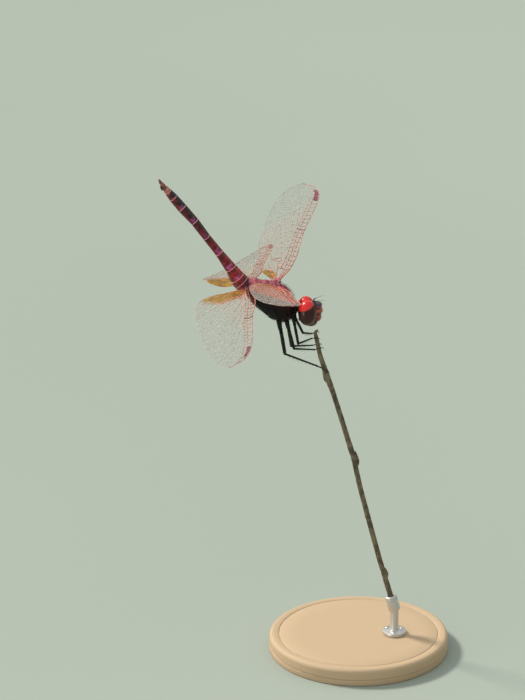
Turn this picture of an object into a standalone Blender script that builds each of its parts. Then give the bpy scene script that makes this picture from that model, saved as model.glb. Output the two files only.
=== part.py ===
"""A still, life-size dropwing dragonfly gripping a cut twig on a small display stand.

The insect faces +X with its left side at +Y.  The origin is the centre of the
stand's underside.  Sizes are in millimetres and become metres through MM.
"""
import math

import bmesh
import bpy
from mathutils import Matrix, Vector

MM = 0.001
ACROSS = Vector((0, 1, 0))

# ---- driving dimensions, mm -------------------------------------------------
GAP = 0.05               # clearance between neighbouring plates of the insect
SKIN = 0.5               # least thickness of a wing, leg or feeler in the solids

WING_HINGE = (-14.0, 0.0, 65.5)        # midway between the two forewing hinges
HINGE_HALF_SPREAD = 1.15               # a hinge's distance from the middle plane
HIND_HINGE_BACK, HIND_HINGE_DROP = 4.57, 0.32

# Wing outlines: (distance along the span, distance behind the hinge line).
WING_SPAN = {"fore": 27.5, "hind": 25.9}
FORE_FRONT = ((0, -0.5), (3, -1.45), (7, -1.75), (13.5, -1.3), (20, -1.5), (24.5, -1.25),
              (26.8, 0.1), (27.5, 1.7))
FORE_REAR = ((0, 0.8), (0.8, 1.7), (2, 3.0), (4.5, 4.2), (9, 5.3), (15, 5.75), (21, 5.65),
             (25.3, 4.7), (27.3, 3.1))
HIND_FRONT = ((0, -0.4), (3, -1.1), (6, -1.35), (10.8, -0.9), (18, -0.95), (22.5, -0.7),
              (25, 0.35), (25.9, 1.9))
HIND_REAR = ((0, 1.2), (0.2, 3.0), (0.6, 5.3), (1.6, 7.2), (3.6, 8.3), (7, 8.4), (12, 7.8),
             (18, 6.6), (23.2, 5.1), (25.6, 3.4))
# Pose of each wing: sweep, lift, pitch and twist in degrees; then the drop of
# the tip, of the rear margin and of the fold beside the body, in mm.
WING_POSES = {
    "forewing_left": ("fore", 1, 11.2, 17.6, 4.5, 2.6, 1.04, 0.0, 0.0),
    "forewing_right": ("fore", -1, 10.15, 14.4, -17.4, 12.9, 0.0, 0.0, 0.0),
    "hindwing_left": ("hind", 1, 5.2, -5.1, 0.0, 30.0, 0.46, -0.2, 1.6),
    "hindwing_right": ("hind", -1, 3.4, -4.8, 2.2, 17.7, 0.43, 0.4, 0.5),
}
WING_TIP_BULGE = 0.3
FOLD_SPAN, FOLD_CHORD = 2.6, 4.0
TWIST_POWER = 0.65                         # below 1, most of the twist lies near the body
WING_TRIM = {"fore": 0.25, "hind": 0.5}    # span left off where the body begins

# Thorax stations: x, centre z, half height, half width.
THORAX_STATIONS = (
    (-19.05, 64.8, 0.6, 0.55), (-18.8, 64.72, 1.1, 1.05), (-18.35, 64.42, 1.62, 1.5),
    (-17.5, 63.92, 2.17, 1.95), (-16.25, 63.35, 2.65, 2.3), (-14.94, 62.75, 3.05, 2.55),
    (-13.62, 62.25, 3.25, 2.62), (-12.47, 61.95, 3.05, 2.5), (-11.65, 61.7, 2.45, 2.1),
    (-11.2, 61.5, 1.75, 1.55), (-11.0, 61.4, 0.95, 0.9),
)
THORAX_SQUARENESS = 2.15

# Abdomen: length, upward pitch in degrees, and half height and half width at
# the far end of each segment, counted from the thorax.
ABDOMEN_BASE = (-19.05, 0.0, 64.91)
ABDOMEN_FIRST = (1.36, 1.3)
ABDOMEN_SEGMENTS = (
    (0.87, 45.7, 1.4, 1.42), (1.04, 49.8, 1.31, 1.42), (1.98, 58.0, 0.95, 1.12),
    (3.21, 54.1, 0.67, 0.87), (3.42, 52.6, 0.63, 0.84), (3.34, 54.2, 0.69, 0.93),
    (3.08, 48.6, 0.8, 1.02), (2.21, 50.6, 0.75, 0.95), (1.33, 50.6, 0.6, 0.76),
    (0.83, 51.5, 0.45, 0.56),
)
SEGMENT_LIP, ABDOMEN_SQUARENESS = 0.04, 1.9
# Rings of one segment: share of its length, and inset that leaves the gap.
SEGMENT_RINGS = ((0.0, GAP / 2), (0.12, 0.0), (0.5, 0.0), (0.9, 0.0), (1.0, -GAP / 2))
CERCUS_LENGTH, CERCUS_SPREAD, CERCUS_RISE, CERCUS_ARCH = 1.75, 0.3, 0.12, 0.08
CERCUS_RUN = ((0.0, 0.23), (0.3, 0.275), (0.6, 0.275), (0.85, 0.25), (1.0, 0.1))  # share, radius
EPIPROCT_LENGTH, EPIPROCT_DROP, EPIPROCT_SLOPE = 0.9, 0.42, 0.12
EPIPROCT_RUN = ((0.0, 0.25), (0.5, 0.25), (0.85, 0.23), (1.0, 0.12))

# Head: every form is an ellipsoid given by centre and half axes.
HEAD_TURN, HEAD_TILT = 7.3, 4.3        # degrees the head looks away to its left, and leans left
HEAD_PIVOT = (-8.78, 0, 60.92)
EYE_CENTRE, EYE_AXES = (-8.89, 1.33, 60.92), (1.5, 1.46, 2.13)
EYE_LEAN = 12.0                       # degrees that each eye leans in at the top
EYE_SEAM_Z, EYE_SPLAY = 61.83, 24.0   # below the seam the inner sides part at this angle
FACE_FORMS = {
    "frons": ((-7.25, 0, 61.78), (0.86, 0.96, 0.6)),
    "clypeus": ((-7.22, 0, 60.95), (0.94, 1.22, 0.66)),
    "labrum": ((-7.35, 0, 59.85), (0.86, 1.15, 0.85)),
    "labium": ((-8.35, 0, 59.15), (1.15, 1.2, 0.8)),
    "vertex": ((-7.85, 0, 62.25), (0.42, 0.42, 0.42)),
}
CAPSULE_CENTRE, CAPSULE_AXES = (-9.05, 0, 60.45), (1.25, 2.4, 1.8)
ANTENNA_BASE, ANTENNA_REACH, ANTENNA_SAG = (-7.42, 0.62, 62.55), (1.5, 0.95, 0.8), 0.25
PROTHORAX_CENTRE, PROTHORAX_AXES = (-10.66, 0, 61.35), (0.3, 0.9, 0.95)

# Legs: coxa root, coxa end, knee, ankle and toe.
LEG_JOINTS = {
    "fore_right": ((-11.3, -0.7, 60.6), (-11.0, -0.78, 59.6), (-10.17, -2.3, 55.98),
                   (-7.95, -0.97, 56.4), (-6.85, -0.72, 56.4)),
    "fore_left": ((-11.3, 0.7, 60.6), (-10.84, 0.78, 59.2), (-9.66, 2.1, 56.14),
                  (-8.0, 1.02, 56.45), (-7.1, 0.65, 56.95)),
    "mid_right": ((-12.3, -1.0, 60.2), (-12.0, -1.1, 58.8), (-10.78, -2.7, 55.24),
                  (-7.45, -1.02, 54.41), (-6.2, -0.76, 54.72)),
    "mid_left": ((-12.3, 1.0, 60.2), (-12.25, 1.1, 58.6), (-11.53, 2.0, 53.83),
                 (-7.95, 1.0, 54.35), (-6.65, 0.74, 54.82)),
    "hind_right": ((-13.6, -1.1, 60.3), (-13.35, -1.2, 58.9), (-12.28, -2.7, 54.31),
                   (-6.94, -1.05, 51.44), (-4.95, -0.9, 50.41)),
    "hind_left": ((-13.6, 1.1, 60.3), (-13.5, 1.2, 58.6), (-12.46, 2.1, 52.33),
                  (-7.14, 1.08, 50.68), (-5.45, 0.92, 49.98)),
}
FEMUR_RADIUS = {"fore": 0.27, "mid": 0.29, "hind": 0.33}
COXA_RADIUS, TROCHANTER_RADIUS, TIBIA_RADIUS, TARSUS_RADIUS = 0.42, 0.34, 0.26, 0.25

# Twig: height, sideways stray from its straight line and radius.
TWIG_LEAN = 14.63                     # degrees off upright, top towards -X
TWIG_FOOT = (5.71, 0.0, 8.05)
TWIG_RUN = (
    (0.0, 0.12, 0.48), (1.3, 0.11, 0.47), (4.1, 0.03, 0.45), (8.5, -0.08, 0.44),
    (15.0, -0.07, 0.44), (21.5, -0.02, 0.43), (25.9, 0.19, 0.44), (28.0, 0.21, 0.5),
    (30.2, 0.13, 0.44), (34.5, -0.01, 0.43), (38.7, -0.2, 0.42), (40.1, -0.34, 0.5),
    (41.3, -0.44, 0.56), (43.0, -0.53, 0.44), (45.1, -0.64, 0.38), (47.3, -0.5, 0.37),
    (48.3, -0.44, 0.33), (49.0, -0.4, 0.24), (49.35, -0.3, 0.18), (49.7, -0.04, 0.13),
)
# Buds: height along the twig, side (+1 towards +X), turn about the twig, length.
TWIG_BUDS = ((5.9, 1, 35, 1.8), (26.4, 1, 10, 3.0), (41.2, -1, -20, 2.0), (16.4, -1, 60, 1.6))
BUD_OFFSET, BUD_HALF_WIDTHS, BUD_SLOPE = 0.3, (0.36, 0.32), 0.12

# Stand.
BASE_RADIUS, BASE_HEIGHT, BASE_EDGE = 15.0, 3.0, 0.7
ROD_X, ROD_RADIUS, FLANGE_RADIUS, FLANGE_HEIGHT = 6.0, 0.7, 2.0, 0.6
CUP_RADIUS, CUP_BORE, CUP_DEPTH, CUP_FLOOR = 1.0, 0.6, 2.0, 0.7
BASE_CHAMFER, ROD_SINK = 0.3, 0.35     # foot chamfer, and depth of the rod in its two ends

# Mesh fineness.
EYE_SIDES, EYE_RINGS = 22, 13
FACE_SIDES, FACE_RINGS = 16, 10
THORAX_SIDES, ABDOMEN_SIDES = 22, 14
WING_STEPS, CHORD_STEPS = 16, 6

# Colours: red, green, blue; roughness; metallic.
FINISHES = {
    "eye": ((0.34, 0.015, 0.02), 0.2, 0.0), "face": ((0.3, 0.05, 0.02), 0.35, 0.0),
    "frons": ((0.06, 0.02, 0.06), 0.25, 0.3), "thorax": ((0.05, 0.02, 0.03), 0.4, 0.0),
    "leg": ((0.012, 0.014, 0.012), 0.35, 0.0), "wing": ((0.6, 0.4, 0.38), 0.3, 0.0),
    "abdomen": ((0.25, 0.02, 0.07), 0.4, 0.0), "twig": ((0.08, 0.06, 0.035), 0.9, 0.0),
    "base": ((0.45, 0.3, 0.17), 0.5, 0.0), "rod": ((0.6, 0.6, 0.58), 0.3, 1.0),
}


# ---- scene and objects ------------------------------------------------------
def clear_scene():
    for old in list(bpy.data.objects):
        bpy.data.objects.remove(old, do_unlink=True)


def collection(name):
    group = bpy.data.collections.new(name)
    bpy.context.scene.collection.children.link(group)
    return group


def finish_for(object_name, key):
    colour, roughness, metallic = FINISHES[key]
    material = bpy.data.materials.new(object_name + "_finish")
    material.use_nodes = True
    shader = material.node_tree.nodes["Principled BSDF"]
    shader.inputs["Base Color"].default_value = (*colour, 1.0)
    shader.inputs["Roughness"].default_value = roughness
    shader.inputs["Metallic"].default_value = metallic
    return material


def add_object(name, form, key, group):
    """Turn a bmesh into a named, smooth-shaded object with its own material."""
    bmesh.ops.recalc_face_normals(form, faces=form.faces[:])
    mesh = bpy.data.meshes.new(name)
    form.to_mesh(mesh)
    form.free()
    mesh.shade_smooth()
    mesh.set_sharp_from_angle(angle=math.radians(40))
    mesh.materials.append(finish_for(name, key))
    thing = bpy.data.objects.new(name, mesh)
    group.objects.link(thing)
    return thing


def metres(point):
    return Vector(point) * MM


def cut(target, cutter_form, cutters):
    """Take the closed form away from the target for good."""
    cutter = add_object("cut_" + target.name, cutter_form, "rod", cutters)
    combine(target, cutter, "DIFFERENCE")


def join(target, other_form, cutters):
    """Unite the closed form with the target for good."""
    other = add_object("join_" + target.name, other_form, "rod", cutters)
    combine(target, other, "UNION")


def combine(target, other, operation):
    other.hide_render = True
    other.display_type = "WIRE"
    step = target.modifiers.new(operation.lower(), "BOOLEAN")
    step.operation = operation
    step.solver = "EXACT"
    step.object = other
    depsgraph = bpy.context.evaluated_depsgraph_get()
    made = bpy.data.meshes.new_from_object(target.evaluated_get(depsgraph))
    target.modifiers.remove(step)
    target.data = made
    while len(made.materials) > 1:
        made.materials.pop()
    for face in made.polygons:
        face.material_index = 0
    bpy.data.objects.remove(other, do_unlink=True)


# ---- forms ------------------------------------------------------------------
def ellipsoid(centre, axes, sides, rings, lean=0.0, grow=0.0):
    """A scaled sphere with its poles along Z, leaned about X by lean degrees."""
    form = bmesh.new()
    bmesh.ops.create_uvsphere(form, u_segments=sides, v_segments=rings, radius=1.0)
    scale = Matrix.Diagonal([(half + grow) * MM for half in axes] + [1.0])
    turn = Matrix.Rotation(math.radians(lean), 4, "X")
    bmesh.ops.transform(form, matrix=Matrix.Translation(metres(centre)) @ turn @ scale,
                        verts=form.verts[:])
    return form


def cylinder(start, end, radius, sides):
    """A closed cylinder from one point to the other."""
    start, end = metres(start), metres(end)
    axis = end - start
    form = bmesh.new()
    bmesh.ops.create_cone(form, cap_ends=True, segments=sides, radius1=radius * MM,
                          radius2=radius * MM, depth=axis.length)
    place = Matrix.Translation((start + end) / 2) @ axis.to_track_quat("Z", "Y").to_matrix().to_4x4()
    bmesh.ops.transform(form, matrix=place, verts=form.verts[:])
    return form


def ring(centre, across, upward, half_width, half_height, sides, squareness=2.0):
    """Points of a superellipse round the centre, in metres."""
    points = []
    for step in range(sides):
        angle = 2 * math.pi * step / sides
        c, s = math.cos(angle), math.sin(angle)
        x = math.copysign(abs(c) ** (2 / squareness), c) * half_width
        z = math.copysign(abs(s) ** (2 / squareness), s) * half_height
        points.append(metres(centre) + (across * x + upward * z) * MM)
    return points


def loft(rings):
    """A closed body through a row of rings with equal point counts."""
    form = bmesh.new()
    rows = [[form.verts.new(point) for point in row] for row in rings]
    count = len(rows[0])
    for low, high in zip(rows, rows[1:]):
        for i in range(count):
            j = (i + 1) % count
            form.faces.new((low[i], low[j], high[j], high[i]))
    form.faces.new(rows[0])
    form.faces.new(rows[-1])
    return form


def catmull(points, t):
    """A smooth value at t, from 0 at the first point to 1 at the last."""
    spans = len(points) - 1
    place = min(t * spans, spans - 1e-9)
    index = int(place)
    f = place - index
    p1, p2 = Vector(points[index]), Vector(points[index + 1])
    p0 = Vector(points[index - 1]) if index else 2 * p1 - p2
    p3 = Vector(points[index + 2]) if index + 2 <= spans else 2 * p2 - p1
    return 0.5 * (2 * p1 + (p2 - p0) * f + (2 * p0 - 5 * p1 + 4 * p2 - p3) * f * f
                  + (3 * p1 - p0 - 3 * p2 + p3) * f ** 3)


def tube(points, radii, sides_step=2):
    """A welded tube with filled ends through the points, as a bmesh."""
    curve = bpy.data.curves.new("tube", "CURVE")
    curve.dimensions = "3D"
    curve.bevel_depth = MM
    curve.bevel_resolution = sides_step
    curve.use_fill_caps = True
    line = curve.splines.new("POLY")
    line.points.add(len(points) - 1)
    for knot, point, radius in zip(line.points, points, radii):
        knot.co = (*metres(point), 1.0)
        knot.radius = radius
    holder = bpy.data.objects.new("tube", curve)
    bpy.context.scene.collection.objects.link(holder)
    depsgraph = bpy.context.evaluated_depsgraph_get()
    mesh = bpy.data.meshes.new_from_object(holder.evaluated_get(depsgraph))
    form = bmesh.new()
    form.from_mesh(mesh)
    bmesh.ops.remove_doubles(form, verts=form.verts[:], dist=0.001 * MM)
    bpy.data.objects.remove(holder, do_unlink=True)
    return form


# ---- thorax and abdomen -----------------------------------------------------
def thorax_form(grow=0.0):
    last = len(THORAX_STATIONS) - 1
    rings = []
    for index, (x, z, half_height, half_width) in enumerate(THORAX_STATIONS):
        x += -grow if index == 0 else grow if index == last else 0.0
        rings.append(ring((x, 0, z), ACROSS, Vector((0, 0, 1)), half_width + grow,
                          half_height + grow, THORAX_SIDES, THORAX_SQUARENESS))
    return loft(rings)


def abdomen_path():
    """Joint points of the abdomen and each segment's direction."""
    point, joints, headings = Vector(ABDOMEN_BASE), [], []
    joints.append(point.copy())
    for length, pitch, _, _ in ABDOMEN_SEGMENTS:
        heading = Vector((-math.cos(math.radians(pitch)), 0, math.sin(math.radians(pitch))))
        point = point + heading * length
        joints.append(point.copy())
        headings.append(heading)
    return joints, headings


def joint_frame(headings, index):
    """Directions at a joint: along the body, and towards its back."""
    before = headings[max(index - 1, 0)]
    after = headings[min(index, len(headings) - 1)]
    along = (before + after).normalized()
    return along, ACROSS.cross(along).normalized()


def build_abdomen(group, cutters):
    joints, headings = abdomen_path()
    sizes = [ABDOMEN_FIRST] + [segment[2:] for segment in ABDOMEN_SEGMENTS]
    for index in range(len(ABDOMEN_SEGMENTS)):
        along, near_up = joint_frame(headings, index)
        _, far_up = joint_frame(headings, index + 1)
        rings = []
        for share, inset in SEGMENT_RINGS:
            middle = joints[index].lerp(joints[index + 1], share)
            lip = SEGMENT_LIP if inset else 0.0
            half_height, half_width = (a + (b - a) * share - lip
                                       for a, b in zip(sizes[index], sizes[index + 1]))
            rings.append(ring(middle + along * inset, ACROSS, near_up.lerp(far_up, share).normalized(),
                              half_width, half_height, ABDOMEN_SIDES, ABDOMEN_SQUARENESS))
        name = "abdomen_%d" % (index + 1)
        segment = add_object(name, loft(rings), "abdomen", group)
        if index == 0:
            cut(segment, thorax_form(GAP), cutters)
    build_tail(joints[-1], headings[-1], group)


def build_tail(tip, along, group):
    """The two claspers above and the single one below, at the abdomen's end."""
    upward = ACROSS.cross(along).normalized()
    for side, name in ((1, "cercus_left"), (-1, "cercus_right")):
        start = tip + along * GAP * 2 + upward * CERCUS_RISE + ACROSS * side * CERCUS_SPREAD
        points = [start + along * CERCUS_LENGTH * share
                  + upward * CERCUS_ARCH * math.sin(math.pi * share) for share, _ in CERCUS_RUN]
        add_object(name, tube(points, [radius for _, radius in CERCUS_RUN]), "abdomen", group)
    start = tip + along * GAP * 2 - upward * EPIPROCT_DROP
    reach = along * EPIPROCT_LENGTH - upward * EPIPROCT_SLOPE
    points = [start + reach * share for share, _ in EPIPROCT_RUN]
    add_object("epiproct", tube(points, [radius for _, radius in EPIPROCT_RUN]), "abdomen", group)


def build_thorax(group):
    add_object("thorax", thorax_form(), "thorax", group)
    add_object("prothorax", ellipsoid(PROTHORAX_CENTRE, PROTHORAX_AXES, FACE_SIDES, FACE_RINGS),
               "thorax", group)


# ---- wings ------------------------------------------------------------------
def wing_point(pose, u, v):
    """Place a point of a flat wing, u along the span and v behind the hinge."""
    kind, side, sweep, lift, pitch, twist, droop, lobe, fold = pose
    span = WING_SPAN[kind]
    sweep, lift = math.radians(sweep), math.radians(lift)
    outward = Vector((math.sin(sweep) * math.cos(lift), side * math.cos(sweep) * math.cos(lift),
                      math.sin(lift)))
    back = Vector((-1, 0, 0)) + outward * outward.x
    back.normalize()
    above = outward.cross(back) * side
    tilt = math.radians(pitch + twist * (u / span) ** TWIST_POWER)
    chord = back * math.cos(tilt) - above * math.sin(tilt)
    hinge = Vector(WING_HINGE) + ACROSS * side * HINGE_HALF_SPREAD
    if kind == "hind":
        hinge -= Vector((HIND_HINGE_BACK, 0, HIND_HINGE_DROP))
    sag = droop * (u / span) ** 2 + lobe * max(v / 7.5, 0) ** 2
    sag += fold * max(1 - u / FOLD_SPAN, 0) * min(max(v / FOLD_CHORD, 0), 1)
    return hinge + outward * u + chord * v - above * sag


def build_wing(name, group):
    pose = WING_POSES[name]
    front, rear = (FORE_FRONT, FORE_REAR) if pose[0] == "fore" else (HIND_FRONT, HIND_REAR)
    span, trim = WING_SPAN[pose[0]], WING_TRIM[pose[0]]
    form = bmesh.new()
    bmesh.ops.create_grid(form, x_segments=WING_STEPS, y_segments=CHORD_STEPS, size=0.5)
    for vert in form.verts:
        t, s = vert.co.x + 0.5, vert.co.y + 0.5
        u, v = catmull(front, t).lerp(catmull(rear, t), s)
        u += WING_TIP_BULGE * 4 * s * (1 - s) * t ** 8
        u = trim + u * (1 - trim / span)
        vert.co = metres(wing_point(pose, u, v))
    wing = add_object(name, form, "wing", group)
    plate = wing.modifiers.new("plate", "SOLIDIFY")
    plate.thickness = SKIN * MM
    plate.offset = 0.0


# ---- head -------------------------------------------------------------------
def head_point(point):
    """A point of the straight head, after the head has turned and leaned."""
    pivot = Vector(HEAD_PIVOT)
    lean = Matrix.Rotation(math.radians(-HEAD_TILT), 3, "X")
    look = Matrix.Rotation(math.radians(HEAD_TURN), 3, "Z")
    return pivot + look @ lean @ (Vector(point) - pivot)


def eye_form(side, grow=0.0):
    """One eye: a leaned ellipsoid, flat at the seam and splayed below it."""
    centre = head_point((EYE_CENTRE[0], side * EYE_CENTRE[1], EYE_CENTRE[2]))
    form = ellipsoid(centre, EYE_AXES, EYE_SIDES, EYE_RINGS, lean=side * EYE_LEAN, grow=grow)
    inner = GAP / 2 - grow
    slice_off(form, (0, side * inner, 0), (0, -side, 0))
    slice_off(form, (0, side * inner, EYE_SEAM_Z), splay_normal(side))
    return form


def splay_normal(side):
    """Direction square to an eye's inner side, towards the middle and down."""
    splay = math.radians(EYE_SPLAY)
    return Vector((0, -side * math.cos(splay), -math.sin(splay)))


def slice_off(form, point, normal):
    """Take off what lies beyond the plane and close the cut."""
    shape = form.verts[:] + form.edges[:] + form.faces[:]
    bmesh.ops.bisect_plane(form, geom=shape, dist=1e-9, plane_co=metres(point),
                           plane_no=normal, clear_outer=True)
    rim = [edge for edge in form.edges if edge.is_boundary]
    bmesh.ops.contextual_create(form, geom=rim)


def capsule_form():
    """The core of the head: a wedge that fills the room between the two eyes."""
    form = ellipsoid(CAPSULE_CENTRE, CAPSULE_AXES, EYE_SIDES, EYE_RINGS)
    for side in (1, -1):
        slice_off(form, (0, side * GAP / 2, EYE_SEAM_Z - 2 * GAP), -splay_normal(side))
    return form


def face_form(name, grow=0.0):
    centre, axes = FACE_FORMS[name]
    return ellipsoid(head_point((centre[0], 0, centre[2])), axes, FACE_SIDES, FACE_RINGS, grow=grow)


def build_head(group, cutters):
    for side, name in ((1, "eye_left"), (-1, "eye_right")):
        add_object(name, eye_form(side), "eye", group)
    done = []
    for name in FACE_FORMS:
        piece = add_object(name, face_form(name), "frons" if name in ("frons", "vertex") else "face",
                           group)
        for side in (1, -1):
            cut(piece, eye_form(side, GAP), cutters)
        for earlier in done:
            cut(piece, face_form(earlier, GAP), cutters)
        done.append(name)
    capsule = add_object("head_capsule", capsule_form(), "face", group)
    for name in done:
        cut(capsule, face_form(name, GAP), cutters)
    for side, name in ((1, "antenna_left"), (-1, "antenna_right")):
        base = Vector((ANTENNA_BASE[0], side * ANTENNA_BASE[1], ANTENNA_BASE[2]))
        reach = Vector((ANTENNA_REACH[0], side * ANTENNA_REACH[1], ANTENNA_REACH[2]))
        points = [head_point(base + reach * t - Vector((0, 0, ANTENNA_SAG * t * t)))
                  for t in (0, 0.35, 0.7, 1.0)]
        add_object(name, tube(points, [SKIN / 2] * 4), "leg", group)


# ---- legs -------------------------------------------------------------------
def femur_form(name, grow=0.0):
    root, coxa_end, knee, _, _ = (Vector(p) for p in LEG_JOINTS[name])
    thick = FEMUR_RADIUS[name.split("_")[0]]
    points = [root, root.lerp(coxa_end, 0.85), coxa_end, coxa_end.lerp(knee, 0.12),
              coxa_end.lerp(knee, 0.45), coxa_end.lerp(knee, 0.92), knee]
    radii = (COXA_RADIUS, COXA_RADIUS, TROCHANTER_RADIUS, thick * 0.92, thick, thick * 0.95,
             thick * 0.8)
    return tube(points, [radius + grow for radius in radii])


def tibia_form(name, grow=0.0):
    _, _, knee, ankle, _ = (Vector(p) for p in LEG_JOINTS[name])
    start = knee.lerp(ankle, -0.02)
    points = [start, knee.lerp(ankle, 0.5), ankle]
    return tube(points, [TIBIA_RADIUS + grow] * 3)


def tarsus_form(name):
    _, _, knee, ankle, toe = (Vector(p) for p in LEG_JOINTS[name])
    back = (ankle - knee).normalized() * 0.02
    points = [ankle + back, ankle.lerp(toe, 0.55), toe]
    return tube(points, [TARSUS_RADIUS] * 3)


def build_legs(group, cutters):
    for name in LEG_JOINTS:
        femur = add_object("femur_" + name, femur_form(name), "leg", group)
        cut(femur, thorax_form(GAP), cutters)
        tibia = add_object("tibia_" + name, tibia_form(name), "leg", group)
        cut(tibia, femur_form(name, GAP), cutters)
        tarsus = add_object("tarsus_" + name, tarsus_form(name), "leg", group)
        cut(tarsus, tibia_form(name, GAP), cutters)


# ---- twig and stand ---------------------------------------------------------
def twig_point(height, stray=0.0):
    lean = math.radians(TWIG_LEAN)
    foot = Vector(TWIG_FOOT)
    return foot + Vector((-math.tan(lean) * height + stray, 0, height))


def twig_stray(height):
    """Sideways stray at a height, between the stations of the run."""
    for (low, stray_low, _), (high, stray_high, _) in zip(TWIG_RUN, TWIG_RUN[1:]):
        if low <= height <= high:
            return stray_low + (stray_high - stray_low) * (height - low) / (high - low)
    return 0.0


def build_twig(group, cutters):
    points = [twig_point(height, stray) for height, stray, _ in TWIG_RUN]
    twig = add_object("twig", tube(points, [radius for _, _, radius in TWIG_RUN], 3), "twig", group)
    up = (points[6] - points[1]).normalized()
    for height, side, turn, length in TWIG_BUDS:
        outward = Matrix.Rotation(math.radians(turn), 3, up) @ Vector((side, 0, 0))
        place = twig_point(height, twig_stray(height)) + outward * BUD_OFFSET
        bud = ellipsoid((0, 0, 0), (*BUD_HALF_WIDTHS, length / 2), 10, 7)
        lean = (up + outward * BUD_SLOPE).to_track_quat("Z", "Y").to_matrix().to_4x4()
        bmesh.ops.transform(bud, matrix=Matrix.Translation(metres(place)) @ lean,
                            verts=bud.verts[:])
        join(twig, bud, cutters)


def turned(name, profile, key, sides, group):
    """A Screw body from (radius, height) pairs, top to bottom."""
    form = bmesh.new()
    verts = [form.verts.new(metres((radius, 0, height))) for radius, height in profile]
    for low, high in zip(verts, verts[1:]):
        form.edges.new((low, high))
    thing = add_object(name, form, key, group)
    spin = thing.modifiers.new("turn", "SCREW")
    spin.steps = sides
    spin.render_steps = sides
    spin.use_merge_vertices = True
    spin.merge_threshold = 1e-7
    return thing


def build_stand(group, cutters):
    edge = BASE_EDGE
    arc = [(BASE_RADIUS - edge + edge * math.sin(math.radians(a)),
            BASE_HEIGHT - edge + edge * math.cos(math.radians(a))) for a in (0, 30, 60, 90)]
    foot_edge = [(BASE_RADIUS, BASE_CHAMFER), (BASE_RADIUS - BASE_CHAMFER, 0), (0, 0)]
    turned("stand_base", [(0, BASE_HEIGHT)] + arc + foot_edge, "base", 48, group)
    floor_z = BASE_HEIGHT + GAP
    lean = math.radians(TWIG_LEAN)
    up = Vector((-math.sin(lean), 0, math.cos(lean)))
    seat = Vector(TWIG_FOOT) + Vector((TWIG_RUN[0][1], 0, 0)) - up * GAP * 2
    foot = Vector((ROD_X, 0, floor_z))
    rod = add_object("stand_rod", cylinder(foot, foot + Vector((0, 0, FLANGE_HEIGHT)),
                                           FLANGE_RADIUS, 24), "rod", group)
    join(rod, cylinder(foot + Vector((0, 0, ROD_SINK)), (ROD_X, 0, seat.z - ROD_SINK),
                       ROD_RADIUS, 16), cutters)
    join(rod, cylinder(seat - up * CUP_FLOOR, seat + up * CUP_DEPTH, CUP_RADIUS, 24), cutters)
    cut(rod, cylinder(seat, seat + up * (CUP_DEPTH + 1), CUP_BORE, 24), cutters)


def main():
    clear_scene()
    group = collection("dragonfly")
    cutters = collection("cutters")
    build_thorax(group)
    build_abdomen(group, cutters)
    build_head(group, cutters)
    for name in WING_POSES:
        build_wing(name, group)
    build_legs(group, cutters)
    build_twig(group, cutters)
    build_stand(group, cutters)


main()
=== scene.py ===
"""A male violet dropwing dragonfly on a twig, as a museum model: its fine form and finishes.

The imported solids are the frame.  Every piece here is modelled round them in
millimetres and written in metres, facing +X with the left side at +Y.
"""
import logging
import math
import random
from collections.abc import Callable, Sequence
from dataclasses import dataclass
from enum import Enum

import bmesh
import bpy
import numpy as np
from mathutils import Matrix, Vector
from mathutils.geometry import delaunay_2d_cdt


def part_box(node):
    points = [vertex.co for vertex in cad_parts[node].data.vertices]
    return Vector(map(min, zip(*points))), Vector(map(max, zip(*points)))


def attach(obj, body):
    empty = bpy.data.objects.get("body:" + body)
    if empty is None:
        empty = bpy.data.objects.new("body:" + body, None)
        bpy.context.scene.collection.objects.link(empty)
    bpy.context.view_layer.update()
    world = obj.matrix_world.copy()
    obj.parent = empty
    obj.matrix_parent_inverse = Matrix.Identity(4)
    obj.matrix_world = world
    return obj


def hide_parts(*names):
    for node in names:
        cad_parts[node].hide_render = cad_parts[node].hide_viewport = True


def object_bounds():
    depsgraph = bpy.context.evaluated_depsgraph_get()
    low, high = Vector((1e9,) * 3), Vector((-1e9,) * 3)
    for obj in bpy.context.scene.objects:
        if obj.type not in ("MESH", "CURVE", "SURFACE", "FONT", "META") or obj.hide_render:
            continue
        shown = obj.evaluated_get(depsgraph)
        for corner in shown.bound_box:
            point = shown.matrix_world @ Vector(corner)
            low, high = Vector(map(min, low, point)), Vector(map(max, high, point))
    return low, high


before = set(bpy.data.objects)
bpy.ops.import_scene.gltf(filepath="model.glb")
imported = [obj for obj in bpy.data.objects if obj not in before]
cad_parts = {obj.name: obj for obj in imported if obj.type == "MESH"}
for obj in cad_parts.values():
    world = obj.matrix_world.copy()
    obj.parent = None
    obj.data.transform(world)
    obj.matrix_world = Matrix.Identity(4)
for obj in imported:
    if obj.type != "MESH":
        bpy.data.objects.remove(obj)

CAD_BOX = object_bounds()
LOG = logging.getLogger("dragonfly")

MM = 0.001
PLANE_MAP = "Plane"          # each piece's own two running coordinates
ROOT_MAP = "OFBake"          # for hairs: the place of each root on its skin
ROOT_PATCH = 0.003
WING_MAP = 30.0              # millimetres of wing to one unit of its map

Array = np.ndarray
Pair = tuple[float, float]
Triple = tuple[float, float, float]
Line = tuple[Pair, ...]
Colour = tuple[int, int, int] | int             # 0 to 255 a channel, or one level for a grey
Stops = tuple[tuple[float, Colour], ...]
Outputs = dict[int | str, "Value"]
Node = bpy.types.Node
Socket = bpy.types.NodeSocket
Object = bpy.types.Object


# ---- numbers and lines ----
def tint(colour: Colour) -> tuple[float, ...]:
    """Turn a display colour into a linear one.

    Args:
        colour: The colour.

    Returns:
        Its linear channels, with full alpha.
    """
    shares = [channel / 255 for channel in (colour if isinstance(colour, tuple) else (colour,) * 3)]
    linear = [c / 12.92 if c < 0.04045 else ((c + 0.055) / 1.055) ** 2.4 for c in shares]
    return (*linear, 1.0)


def vec(*values: float) -> Array:
    """A numpy vector of the values."""
    return np.array(values, float)


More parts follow.
